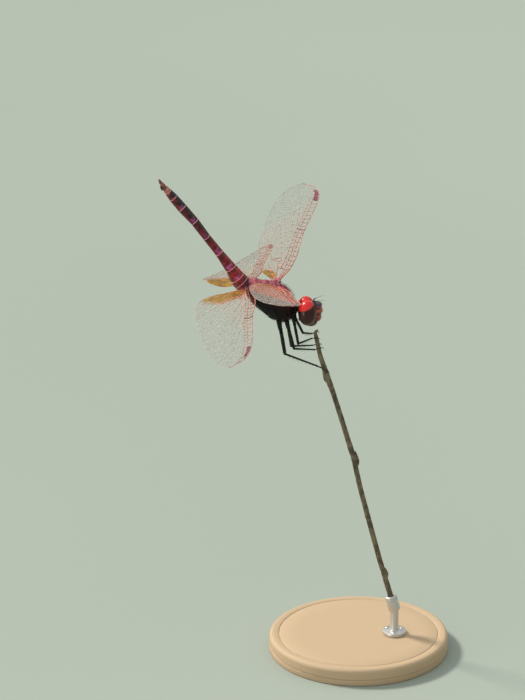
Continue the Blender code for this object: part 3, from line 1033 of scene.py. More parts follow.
@dataclass(frozen=True)
class BarkFinish(Finish):
    """Weathered bark: grey-brown fibres, pale specks and dark cracks."""

    light: Colour = (126, 115, 88)
    dark: Colour = (84, 74, 54)
    crack: Colour = (40, 34, 24)
    speck: Colour = (158, 148, 120)

    def dress(self, graph: Graph) -> dict[str, object]:
        """Draw fibres along the twig and scatter specks.

        Args:
            graph: The material's graph.

        Returns:
            Values for the shader's inputs.
        """
        point = graph.millimetres()
        fibre = STREAKS.use(graph, Vector=point, Stretch=(1.0, 1.0, 0.16), Scale=6.0)
        tone = MOTTLE.use(graph, Light=self.light, Dark=self.dark, Scale=0.9)["Color"]
        colour = graph.blend(fibre["Mask"] * 0.45, tone, self.crack)
        specks = graph.remap(graph.cells(point, 1.7), 0.16, 0.1, 0.0, 0.6)
        return {"Base_Color": graph.blend(specks, colour, self.speck),
                "Roughness": graph.remap(fibre["Height"], 0.3, 0.7, 0.7, 0.95),
                "Normal": graph.bump(fibre["Height"], 0.09)}


@dataclass(frozen=True)
class WoodFinish(Finish):
    """Waxed pale wood with curved growth rings and fine pores."""

    light: Colour = (205, 176, 136)
    dark: Colour = (160, 124, 84)
    pore: Colour = (128, 92, 58)

    def dress(self, graph: Graph) -> dict[str, object]:
        """Cut long growth rings through the disc and add pores along them.

        Args:
            graph: The material's graph.

        Returns:
            Values for the shader's inputs.
        """
        point = graph.millimetres()
        sway = graph.noise(graph.vector("MULTIPLY", point, (0.1, 1.0, 1.0))[0], 0.12, 2.0)
        rings = graph.maths("FRACT", graph.split(point)[1] * 0.45 + sway * 7.0)
        pores = STREAKS.use(graph, Vector=point, Stretch=(0.12, 1.6, 1.6), Scale=3.0)
        colour = graph.blend(graph.remap(rings, 0.2, 0.95), self.light, self.dark)
        return {"Base_Color": graph.blend(pores["Mask"] * 0.3, colour, self.pore),
                "Roughness": graph.remap(pores["Height"], 0.3, 0.7, self.roughness, 0.6),
                "Normal": graph.bump(pores["Height"], 0.03)}


@dataclass(frozen=True)
class SteelFinish(Finish):
    """Brushed steel with fine lines turned round the rod."""

    def dress(self, graph: Graph) -> dict[str, object]:
        """Draw the turned lines into the roughness and the surface.

        Args:
            graph: The material's graph.

        Returns:
            Values for the shader's inputs.
        """
        lines = STREAKS.use(graph, Vector=graph.millimetres(), Stretch=(0.3, 0.3, 9.0), Scale=2.0)["Height"]
        smudge = MOTTLE.use(graph, Light=(200, 200, 198), Dark=(172, 172, 170), Scale=0.7)["Color"]
        return {"Base_Color": smudge, "Metallic": 1.0, "Roughness": graph.remap(lines, 0.3, 0.7, 0.24, 0.42),
                "Normal": graph.bump(lines, 0.008)}


@dataclass(frozen=True)
class FloorFinish(Finish):
    """A plain pale matt floor with the faintest cloud in its tone."""

    light: Colour = (159, 168, 158)
    dark: Colour = (155, 164, 154)

    def dress(self, graph: Graph) -> dict[str, object]:
        """Cloud the tone slowly across the floor."""
        cloud = graph.remap(graph.noise(graph.node("TexCoord")["Object"], 3.0, 2.0), 0.35, 0.65)
        return {"Base_Color": graph.blend(cloud, self.dark, self.light), "Specular_IOR_Level": 0.1}


# ---- wings ----
class WingKind(Enum):
    """The two kinds of wing."""

    FORE = "forewing"
    HIND = "hindwing"


@dataclass(frozen=True)
class Vein:
    """One vein: its run in shares of span and chord, and its radius at both ends in mm."""

    name: str
    run: Line
    radius: Pair = (0.05, 0.028)
    leading: bool = False


@dataclass(frozen=True)
class WingPlan:
    """Outline and veins of one kind of wing laid flat.

    Flat points are (u, v): u runs along the span from the hinge and v runs
    back from the hinge line, both in millimetres.
    """

    span: float
    trim: float
    front: Line
    rear: Line
    veins: tuple[Vein, ...]
    hinge_back: float
    hinge_drop: float
    nodus: float
    stigma: Pair
    bare: Pair
    amber_centre: Triple
    amber_radius: float
    blush: Pair
    sheen: float
    cell: Pair = (0.78, 0.52)
    tip_bulge: float = 0.3

    def edge(self, rear: bool) -> Array:
        """Flat points of the front or the rear edge, from the body to the tip.

        Args:
            rear: The rear edge and not the front one.

        Returns:
            200 flat points.
        """
        line = spline(self.rear if rear else self.front, np.linspace(0, 1, 200))
        line[:, 0] = self.trim + line[:, 0] * (1 - self.trim / self.span)
        return line

    def edges(self, u: Array) -> list[Array]:
        """How far back the front and the rear edge lie at places along the span."""
        return [np.interp(u, *self.edge(rear).T) for rear in (False, True)]

    def rim(self) -> Array:
        """The whole outline: along the front, round the tip and back along the rear.

        Returns:
            Its flat points.
        """
        across = np.linspace(0, 1, 14)[1:-1]
        front, rear = self.edge(False), self.edge(True)
        tip = front[-1] + np.outer(across, rear[-1] - front[-1])
        tip[:, 0] += self.tip_bulge * 4 * across * (1 - across)
        return np.vstack([front, tip, rear[::-1]])

    def shares(self, flat: Array) -> Array:
        """How far back each flat point lies: 0 at the front edge, 1 at the rear."""
        front, rear = self.edges(flat[..., 0])
        return (flat[..., 1] - front) / np.maximum(rear - front, 0.3)

    def line(self, run: Sequence[Pair], count: int = 60) -> Array:
        """Flat points of a smooth run given in shares of span and chord.

        Args:
            run: Corners of the run.
            count: How many points to give.

        Returns:
            The points.
        """
        read = spline(run, np.linspace(0, 1, count))
        u = read[:, 0] * self.span
        front, rear = self.edges(u)
        return np.stack([u, front + (rear - front) * np.clip(read[:, 1], 0, 1)], 1)

    def vein(self, name: str) -> Array:
        """Flat points of the named vein."""
        return next(self.line(vein.run) for vein in self.veins if vein.name == name)

    def on(self, name: str, u: float) -> Array:
        """The flat point of a named vein, or of the costa, at a place along the span."""
        line = self.edge(False) if name == "costa" else self.vein(name)
        return vec(u, np.interp(u, *line.T))

    def film(self, steps: int, rows: int) -> Array:
        """A grid of flat points over the whole wing.

        Args:
            steps: How many points along the span.
            rows: How many across it.

        Returns:
            Steps by rows by 2.
        """
        t, s = np.linspace(0, 1, steps), np.linspace(0, 1, rows) ** 1.6
        front, rear = spline(self.front, t), spline(self.rear, t)
        flat = front[:, None] * (1 - s)[None, :, None] + rear[:, None] * s[None, :, None]
        flat[..., 0] += self.tip_bulge * 4 * (s * (1 - s))[None] * (t ** 8)[:, None]
        flat[..., 0] = self.trim + flat[..., 0] * (1 - self.trim / self.span)
        return flat

    def pleats(self, flat: Array) -> Array:
        """Height of the wing's pleats: ridges and valleys that run along the veins.

        Args:
            flat: Flat points.

        Returns:
            Their heights in millimetres.
        """
        share = np.clip(self.shares(flat), 0, 1)
        phase = np.interp(share, (0, 0.07, 0.145, 0.22, 0.4, 0.6, 0.8, 1), (0, 0.5, 1, 1.5, 2, 2.5, 3, 3.5))
        depth = np.interp(share, (0, 0.22, 0.4, 1), (0.085, 0.085, 0.035, 0.025))
        taper = 1 - 0.7 * np.clip(flat[..., 0] / self.span, 0, 1)
        return np.cos(math.tau * phase) * depth * taper + ripple(flat, 2.6, 5) * 0.02


POINT_GAP = 0.08             # from point to point of the outline and the veins


@dataclass
class CellNet:
    """The net of small cells behind the leading veins of a flat wing."""

    plan: WingPlan
    seed: int
    snap: float = 0.17                       # a wall ending this near a vein is fixed to it
    beside: float = 0.42                     # from a vein to its seeds, in cells
    apart: Pair = (0.62, 0.86)               # least gap between seeds, in cells: by veins, elsewhere
    wall: Pair = (0.07, 1.8)                 # shortest and longest wall
    tries: int = 5200
    rounds: int = 3

    def lines(self) -> list[Array]:
        """The outline and every vein as close rows of flat points."""
        runs = [self.plan.line(vein.run) for vein in self.plan.veins]
        return [self.thicken(line) for line in (self.plan.rim(), *runs)]

    @staticmethod
    def thicken(line: Array, gap: float = POINT_GAP) -> Array:
        """The same line with a point about every gap.

        Args:
            line: The line's points.
            gap: The gap in millimetres.

        Returns:
            The closer points.
        """
        walked = np.concatenate([[0], np.cumsum(np.linalg.norm(np.diff(line, axis=0), axis=1))])
        places = np.linspace(0, walked[-1], max(3, int(walked[-1] / gap)))
        return np.stack([np.interp(places, walked, line[:, axis]) for axis in (0, 1)], 1)

    def inside(self, points: Array) -> Array:
        """Which of the flat points lie inside the outline.

        Args:
            points: Flat points.

        Returns:
            True for each that lies inside.
        """
        ring = self.plan.rim()
        after = np.roll(ring, -1, axis=0)
        x, y = points[:, :1], points[:, 1:]
        spans = (ring[:, 1] > y) != (after[:, 1] > y)
        rise = after[:, 1] - ring[:, 1]
        cross = ring[:, 0] + (y - ring[:, 1]) * (after[:, 0] - ring[:, 0]) / np.where(rise == 0, 1e-9, rise)
        return (spans & (x < cross)).sum(1) % 2 == 1

    def size(self, u: float) -> float:
        """The width of a cell at a place along the span."""
        return float(np.interp(u / self.plan.span, (0.1, 0.9), self.plan.cell))

    def walls(self) -> Array:
        """The cell walls as pairs of flat points.

        Returns:
            Walls by 2 by 2.
        """
        lines = self.lines()
        points = np.vstack(lines)
        owner = np.repeat(np.arange(len(lines)), [len(line) for line in lines])
        held, outer = self.seeds_by_veins(lines, points, owner)
        seeds = held + self.seeds_between(held, points)
        for _ in range(self.rounds):
            seeds = self.even_out(seeds, len(held))
        return self.keep(self.borders(np.array(seeds + outer)), points, owner)

    def seeds_by_veins(self, lines: list[Array], points: Array,
                       owner: Array) -> tuple[list[Array], list[Array]]:
        """Seeds in pairs on both sides of each vein, and those outside the wing.

        Args:
            lines: The outline and the veins.
            points: All their points.
            owner: The number of each point's line.

        Returns:
            The seeds inside and those outside.
        """
        held: list[Array] = []
        outer: list[Array] = []
        for number, line in enumerate(lines):
            ahead = unit(np.gradient(line, axis=0))
            others = points[owner != number]
            place = 0.3
            while place < POINT_GAP * (len(line) - 2):
                index = int(place / POINT_GAP)
                spot, way = line[index], ahead[index]
                cell = self.size(spot[0])
                reach = self.beside * cell
                for side in (-1, 1):
                    out = vec(-way[1], way[0]) * side
                    room = np.linalg.norm(others - (spot + out * reach), axis=1).min()
                    seed = spot + out * (min(reach, (reach + room) / 2))
                    near = held if self.inside(seed[None])[0] else outer
                    gaps = np.linalg.norm(np.array(near or [seed + cell]) - seed, axis=1)
                    if gaps.min() > self.apart[0] * cell:
                        near.append(seed)
                place += cell
        return held, outer

    def seeds_between(self, held: list[Array], points: Array) -> list[Array]:
        """Seeds that fill the room left between the veins.

        Args:
            held: Seeds already placed.
            points: All points of the outline and the veins.

        Returns:
            The added seeds.
        """
        dice = np.random.default_rng(self.seed)
        low, high = points.min(0), points.max(0)
        spots = low + dice.random((self.tries, 2)) * (high - low)
        taken = np.array(held)
        added: list[Array] = []
        for spot in spots[self.inside(spots)]:
            if np.linalg.norm(taken - spot, axis=1).min() >= self.apart[1] * self.size(spot[0]):
                taken = np.vstack([taken, spot])
                added.append(spot)
        return added

    @staticmethod
    def triangles(seeds: Array) -> tuple[Array, Array]:
        """Corners and triangles of the net through the seeds.

        Args:
            seeds: The seeds.

        Returns:
            The corners, and three corner numbers a row.
        """
        spots = [Vector(seed) for seed in seeds.tolist()]
        corners, _, faces = delaunay_2d_cdt(spots, [], [], 0, 1e-6)[:3]
        return np.array([tuple(corner) for corner in corners]), np.array(faces)

    def even_out(self, seeds: list[Array], fixed: int) -> list[Array]:
        """Move the seeds after the fixed ones to the middle of their neighbours.

        Args:
            seeds: All seeds.
            fixed: How many of the first stay.

        Returns:
            The seeds after the move.
        """
        corners, faces = self.triangles(np.array(seeds))
        pairs = np.vstack([faces[:, [0, 1]], faces[:, [1, 2]], faces[:, [2, 0]]])
        pairs = np.vstack([pairs, pairs[:, ::-1]])
        total, count = np.zeros_like(corners), np.zeros(len(corners))
        np.add.at(total, pairs[:, 0], corners[pairs[:, 1]])
        np.add.at(count, pairs[:, 0], 1)
        moved = total / np.maximum(count, 1)[:, None]
        return seeds[:fixed] + [0.4 * old + 0.6 * new for old, new in zip(seeds[fixed:], moved[fixed:])]

    def borders(self, seeds: Array) -> Array:
        """The borders between neighbouring seeds' cells, as pairs of points.

        Args:
            seeds: The seeds.

        Returns:
            Borders by 2 by 2.
        """
        corners, faces = self.triangles(seeds)
        a, b, c = (corners[faces[:, k]] for k in range(3))
        ab, ac = b - a, c - a
        area = 2 * (ab[:, 0] * ac[:, 1] - ab[:, 1] * ac[:, 0])
        ab2, ac2 = (ab ** 2).sum(1), (ac ** 2).sum(1)
        offset = [ac[:, 1] * ab2 - ab[:, 1] * ac2, ab[:, 0] * ac2 - ac[:, 0] * ab2]
        middle = a + np.stack(offset, 1) / area[:, None]
        shared: dict[tuple[int, int], list[int]] = {}
        for index, face in enumerate(faces.tolist()):
            for first, second in zip(face, face[1:] + face[:1]):
                shared.setdefault((min(first, second), max(first, second)), []).append(index)
        return np.array([[middle[pair[0]], middle[pair[1]]] for pair in shared.values() if len(pair) == 2])

    def keep(self, walls: Array, points: Array, owner: Array) -> Array:
        """Fix walls to the veins that they end at, and leave out those that are not wanted.

        Args:
            walls: Walls by 2 by 2.
            points: All points of the outline and the veins.
            owner: The number of each point's line.

        Returns:
            The walls that stay.
        """
        ends = walls.reshape(-1, 2)
        gaps = np.linalg.norm(ends[:, None] - points[None], axis=2)
        nearest = gaps.argmin(1)
        fixed = gaps.min(1) < self.snap
        ends = np.where(fixed[:, None], points[nearest], ends)
        held = np.where(fixed, owner[nearest], -1).reshape(-1, 2)
        walls = ends.reshape(-1, 2, 2)
        middle = walls.mean(1)
        lead = self.plan.vein("RP")
        front = np.interp(middle[:, 0], *lead.T)
        bare_span, bare_share = self.plan.bare
        bare = (middle[:, 0] < bare_span * self.plan.span) & (self.plan.shares(middle) < bare_share)
        length = np.linalg.norm(walls[:, 0] - walls[:, 1], axis=1)
        good = (held[:, 0] != held[:, 1]) | (held[:, 0] < 0)
        good &= (length > self.wall[0]) & (length < self.wall[1])
        good &= self.inside(middle) & ~bare
        good &= (middle[:, 1] > front) | (middle[:, 0] < lead[0, 0])
        return walls[good]


@dataclass
class Wing:
    """One wing in its pose: film, veins, cells, stigma and root plates.

    Angles are in degrees.  The drops are in millimetres: of the tip, of the
    rear edge and of the fold beside the body.
    """

    kind: WingKind
    side: int
    sweep: float
    lift: float
    pitch: float
    twist: float
    droop: float
    lobe: float
    fold: float
    seed: int
    half_spread: float = 1.15
    twist_power: float = 0.65

    def __post_init__(self) -> None:
        """Look up the plan and place the hinge on the thorax."""
        self.plan = WING_PLANS[self.kind]
        self.node = "%s_%s" % (self.kind.value, "left" if self.side > 0 else "right")
        _, high = node_box("thorax")
        self.hinge = vec(high[0] - 3.0 - self.plan.hinge_back, self.side * self.half_spread,
                         high[2] - 0.57 - self.plan.hinge_drop)

    def shape(self, flat: Array, lift: float = 0.0) -> Array:
        """Bend flat points into the wing's pose.

        Args:
            flat: Flat points.
            lift: Height above the film.

        Returns:
            The points in space.
        """
        u, v = flat[..., 0], flat[..., 1]
        reach = np.clip(u / self.plan.span, 0, 1)
        sweep, rise = math.radians(self.sweep), math.radians(self.lift)
        level = vec(math.sin(sweep), self.side * math.cos(sweep), 0) * math.cos(rise)
        outward = level + vec(0, 0, math.sin(rise))
        back = unit(vec(-1, 0, 0) + outward * outward[0])
        above = np.cross(outward, back) * self.side
        tilt = np.radians(self.pitch + self.twist * reach ** self.twist_power)[..., None]
        chord = np.cos(tilt) * back - np.sin(tilt) * above
        normal = np.cos(tilt) * above + np.sin(tilt) * back
        sag = self.droop * reach ** 2 + self.lobe * np.maximum(v / 7.5, 0) ** 2
        sag = sag + self.fold * np.maximum(1 - np.maximum(u, 0) / 2.6, 0) * np.clip(v / 4, 0, 1)
        height = self.plan.pleats(flat) + lift
        return (self.hinge + u[..., None] * outward + v[..., None] * chord
                + height[..., None] * normal - sag[..., None] * above)

    def build(self) -> None:
        """Build and place every piece of the wing."""
        self.build_film()
        self.build_veins()
        self.build_cells()
        self.build_stigma()
        self.build_root()

    def build_film(self) -> None:
        """The clear film, two close faces joined round the outline."""
        flat = self.plan.film(130, 52)
        draft = Draft()
        draft.slab(self.shape(flat, 0.008), self.shape(flat, -0.008), flat / WING_MAP)
        finish = MembraneFinish(self.kind.value + "_film", 0.24, amber_centre=self.plan.amber_centre,
                                amber_radius=self.plan.amber_radius, blush_line=self.plan.blush,
                                sheen=self.plan.sheen)
        draft.place(self.node + "_film", finish, "wing_membrane", self.node)

    def build_veins(self) -> None:
        """The long veins, the leading ones apart from the rest."""
        lead, rear = Draft(), Draft()
        rim = self.plan.rim()
        for start, stop, radii, draft in ((0, 208, (0.105, 0.062), lead),
                                          (206, len(rim), (0.035, 0.03), rear)):
            line = rim[start:stop]
            draft.tube(self.shape(line), np.linspace(*radii, len(line)), 8, line / WING_MAP)
        for vein in self.plan.veins:
            line = self.plan.line(vein.run)
            radii = np.linspace(*vein.radius, len(line))
            (lead if vein.leading else rear).tube(self.shape(line), radii, 6, line / WING_MAP)
        lead.place(self.node + "_leading_veins", LEADING_VEIN, "wing_membrane")
        rear.place(self.node + "_rear_veins", REAR_VEIN, "wing_membrane")

    def build_cells(self) -> None:
        """Cross veins between the leading veins, and the net behind them."""
        cross, net = Draft(), Draft()
        for points, radius in self.cross_veins():
            flat = CellNet.thicken(np.array(points), 0.25)
            cross.tube(self.shape(flat), radius, 5, flat / WING_MAP)
        for wall in CellNet(self.plan, self.seed).walls():
            radius = float(np.interp(wall[0, 0] / self.plan.span, (0, 1), (0.02, 0.014)))
            net.tube(self.shape(wall), radius, 4, wall / WING_MAP)
        cross.place(self.node + "_cross_veins", CROSS_VEIN, "wing_membrane")
        net.place(self.node + "_cells", CELL_VEIN, "wing_membrane")

    def cross_veins(self) -> list[tuple[list[Array], float]]:
        """The cross veins of the leading part and their radii.

        Returns:
            The corners and the radius of each.
        """
        plan = self.plan
        runs = []
        for u in np.linspace(0.11 * plan.span, plan.nodus - 0.95, 9 if self.kind is WingKind.FORE else 7):
            runs.append(([plan.on("costa", u), plan.on("Sc", u + 0.05), plan.on("R", u + 0.1)], 0.036))
        for u in np.linspace(plan.nodus + 1.0, plan.stigma[0] - 0.9, 7):
            runs.append(([plan.on("costa", u), plan.on("R", u - 0.12)], 0.034))
        for u in np.arange(plan.stigma[0] + 3.4, 0.965 * plan.span, 0.62):
            runs.append(([plan.on("costa", u), plan.on("R", u - 0.1)], 0.024))
        for u in np.arange(0.19 * plan.span, 0.955 * plan.span, 1.02):
            runs.append(([plan.on("R", u), plan.on("RP", u - 0.1)], 0.028))
        start = plan.vein("MA")[0]
        runs.append(([plan.on("R", start[0]), start, plan.on("Cu", start[0])], 0.045))
        return runs

    def build_stigma(self) -> None:
        """The thick dark cell near the tip, and the joint halfway along the front edge."""
        plan = self.plan
        draft = Draft()
        u = np.linspace(*plan.stigma, 18)
        costa = np.stack([plan.on("costa", value) for value in u])
        lower = np.stack([plan.on("R", value + 0.22) for value in u])
        rows = np.linspace(0.02, 0.98, 7)
        flat = costa[:, None] * (1 - rows)[:, None] + lower[:, None] * rows[:, None]
        across, along = np.sin(np.pi * rows), np.sin(np.pi * np.linspace(0.05, 0.95, len(u)))
        swollen = 0.05 + 0.05 * np.outer(along, across)
        draft.slab(self.raised(flat, swollen), self.raised(flat, -swollen), flat / WING_MAP)
        for end in (0, -1):
            draft.tube(self.shape(np.stack([costa[end], lower[end]])), 0.055, 6)
        joint = np.stack([plan.on("costa", plan.nodus), plan.on("R", plan.nodus + 0.12),
                          plan.on("RP", plan.nodus + 0.26)])
        draft.tube(self.shape(CellNet.thicken(joint, 0.2)), 0.07, 6)
        tip = self.shape(plan.on("costa", plan.nodus)[None])[0]
        draft.ball(tip, (0.16, 0.2, 0.13), sides=10)
        draft.place(self.node + "_stigma", STIGMA, "wing_membrane")

    def raised(self, flat: Array, lift: Array) -> Array:
        """Flat points in space, each lifted by its own height."""
        base = self.shape(flat)
        return base + (self.shape(flat, 1.0) - base) * lift[..., None]

    def build_root(self) -> None:
        """Hardened plates that carry the wing on the thorax."""
        draft = Draft()
        inner = self.side * 0.55
        for u, v, radius, drop in ((1.3, -0.72, 0.2, 0.35), (1.2, -0.2, 0.16, 0.45), (0.95, 0.35, 0.22, 0.5),
                                   (0.75, 1.0, 0.15, 0.5)):
            flat = np.array([[0.05, v * 0.6], [0.5 * u, v * 0.85], [u, v]])
            outer = self.shape(flat)
            seat = outer[0] * vec(1, 0, 1) + vec(0, inner, -drop)
            share = np.linspace(0, 1, 10)
            radii = radius * np.interp(share, (0, 0.3, 0.6, 1), (1.6, 1.25, 0.8, 0.3))
            draft.tube(spline(np.vstack([seat, outer]), share), radii, 10, flat=0.75)
        for v, size in ((-0.55, 0.3), (0.2, 0.34), (0.95, 0.24)):
            centre = self.shape(np.array([[0.15, v]]))[0] - vec(0, self.side * 0.2, 0.12)
            draft.ball(centre, (size, size * 0.9, size * 0.72), sides=16)
        draft.place(self.node + "_root", ROOT_PLATE, "thorax_cuticle")


FORE_VEINS = (
    Vein("Sc", ((0, 0.10), (0.12, 0.10), (0.25, 0.10), (0.38, 0.075), (0.5, 0.03), (0.517, 0)),
         (0.065, 0.05), True),
    Vein("R", ((0, 0.2), (0.1, 0.19), (0.25, 0.165), (0.5, 0.13), (0.66, 0.13), (0.83, 0.135), (0.93, 0.13),
               (0.985, 0.2)), (0.085, 0.045), True),
    Vein("RP", ((0.125, 0.29), (0.25, 0.26), (0.4, 0.22), (0.517, 0.2), (0.7, 0.21), (0.83, 0.22),
                (0.93, 0.25), (0.99, 0.35)), (0.065, 0.04), True),
    Vein("RP2", ((0.53, 0.2), (0.65, 0.30), (0.8, 0.40), (0.9, 0.50), (0.965, 0.66))),
    Vein("IR2", ((0.38, 0.235), (0.5, 0.31), (0.65, 0.42), (0.8, 0.52), (0.9, 0.66), (0.94, 0.85))),
    Vein("Rspl", ((0.62, 0.48), (0.72, 0.58), (0.82, 0.64), (0.88, 0.7)), (0.03, 0.02)),
    Vein("RP3", ((0.29, 0.25), (0.4, 0.36), (0.5, 0.47), (0.65, 0.62), (0.78, 0.80), (0.83, 1.0))),
    Vein("MA", ((0.125, 0.30), (0.2, 0.36), (0.3, 0.42), (0.4, 0.49), (0.55, 0.64), (0.68, 0.82),
                (0.74, 1.0)), (0.06, 0.03)),
    Vein("Mspl", ((0.4, 0.6), (0.5, 0.7), (0.6, 0.8)), (0.03, 0.02)),
    Vein("CuP", ((0.21, 0.62), (0.3, 0.72), (0.42, 0.85), (0.5, 1.0))),
    Vein("Cu", ((0, 0.38), (0.1, 0.40), (0.19, 0.44)), (0.08, 0.05), True),
    Vein("A1", ((0, 0.50), (0.08, 0.62), (0.16, 0.72), (0.25, 0.86), (0.32, 1.0)), (0.07, 0.03)),
    Vein("T1", ((0.185, 0.40), (0.2035, 0.388), (0.222, 0.375)), (0.045, 0.045)),
    Vein("T2", ((0.222, 0.375), (0.213, 0.52), (0.205, 0.66)), (0.045, 0.045)),
    Vein("T3", ((0.205, 0.66), (0.195, 0.53), (0.185, 0.40)), (0.045, 0.045)),
)
HIND_VEINS = (
    Vein("Sc", ((0, 0.08), (0.1, 0.08), (0.2, 0.08), (0.32, 0.06), (0.41, 0.03), (0.43, 0)),
         (0.065, 0.05), True),
    Vein("R", ((0, 0.14), (0.1, 0.125), (0.2, 0.12), (0.43, 0.105), (0.62, 0.11), (0.8, 0.115), (0.92, 0.13),
               (0.985, 0.22)), (0.085, 0.045), True),
    Vein("RP", ((0.09, 0.17), (0.2, 0.16), (0.35, 0.155), (0.43, 0.155), (0.7, 0.18), (0.83, 0.21),
                (0.92, 0.24), (0.985, 0.36)), (0.065, 0.04), True),
    Vein("RP2", ((0.45, 0.155), (0.6, 0.27), (0.78, 0.42), (0.88, 0.55), (0.955, 0.75))),
    Vein("IR2", ((0.3, 0.165), (0.43, 0.25), (0.6, 0.38), (0.75, 0.50), (0.87, 0.68), (0.92, 0.88))),
    Vein("Rspl", ((0.55, 0.45), (0.68, 0.56), (0.78, 0.64)), (0.03, 0.02)),
    Vein("RP3", ((0.22, 0.17), (0.35, 0.27), (0.5, 0.43), (0.63, 0.6), (0.73, 0.78), (0.79, 1.0))),
    Vein("MA", ((0.09, 0.18), (0.2, 0.25), (0.33, 0.37), (0.45, 0.5), (0.58, 0.68), (0.66, 0.85),
                (0.70, 1.0)), (0.06, 0.03)),
    Vein("CuP", ((0.12, 0.34), (0.2, 0.45), (0.3, 0.6), (0.4, 0.8), (0.45, 1.0))),
    Vein("CuA", ((0.12, 0.35), (0.17, 0.52), (0.23, 0.75), (0.27, 1.0))),
    Vein("Cu", ((0, 0.22), (0.05, 0.235), (0.1, 0.25)), (0.08, 0.055), True),
    Vein("A2", ((0.02, 0.27), (0.06, 0.45), (0.09, 0.62), (0.12, 0.75), (0.2, 0.86)), (0.06, 0.03)),
    Vein("loop", ((0.09, 0.38), (0.12, 0.55), (0.15, 0.72)), (0.04, 0.03)),
    Vein("A3", ((0.01, 0.3), (0.03, 0.6), (0.05, 0.9)), (0.05, 0.03)),
    Vein("T1", ((0.105, 0.24), (0.13, 0.2375), (0.155, 0.235)), (0.045, 0.045)),
    Vein("T2", ((0.155, 0.235), (0.1375, 0.288), (0.12, 0.34)), (0.045, 0.045)),
    Vein("T3", ((0.12, 0.34), (0.1125, 0.29), (0.105, 0.24)), (0.045, 0.045)),
)
WING_PLANS = {
    WingKind.FORE: WingPlan(
        span=27.5, trim=0.25,
        front=((0, -0.5), (3, -1.45), (7, -1.75), (13.5, -1.3), (20, -1.5), (24.5, -1.25), (26.8, 0.1),
               (27.5, 1.7)),
        rear=((0, 0.8), (0.8, 1.7), (2, 3.0), (4.5, 4.2), (9, 5.3), (15, 5.75), (21, 5.65), (25.3, 4.7),
              (27.3, 3.1)),
        veins=FORE_VEINS, hinge_back=0.0, hinge_drop=0.0, nodus=14.2, stigma=(22.75, 25.7), bare=(0.12, 0.4),
        amber_centre=(1.2, 2.0, 0.0), amber_radius=1.9, blush=(1.45, 21.5), sheen=0.82),
    WingKind.HIND: WingPlan(
        span=25.9, trim=0.5,
        front=((0, -0.4), (3, -1.1), (6, -1.35), (10.8, -0.9), (18, -0.95), (22.5, -0.7), (25, 0.35),
               (25.9, 1.9)),
        rear=((0, 1.2), (0.2, 3.0), (0.6, 5.3), (1.6, 7.2), (3.6, 8.3), (7, 8.4), (12, 7.8), (18, 6.6),
              (23.2, 5.1), (25.6, 3.4)),
        veins=HIND_VEINS, hinge_back=4.57, hinge_drop=0.32, nodus=11.1, stigma=(21.2, 23.9),
        bare=(0.1, 0.24), amber_centre=(0.1, 4.2, 0.0), amber_radius=5.0, blush=(2.2, 16.0), sheen=0.28),
}


# ---- thorax and abdomen ----
def rounded(turn: Array, squareness: float) -> tuple[Array, Array]:
    """Side and height, -1 to 1, round a superellipse that starts and ends at its foot.

    Args:
        turn: Angles round it.
        squareness: 2 for an ellipse, more for a squarer form.

    Returns:
        Sides and heights.
    """
    side, height = np.sin(turn), -np.cos(turn)
    power = 2 / squareness
    return np.sign(side) * np.abs(side) ** power, np.sign(height) * np.abs(height) ** power


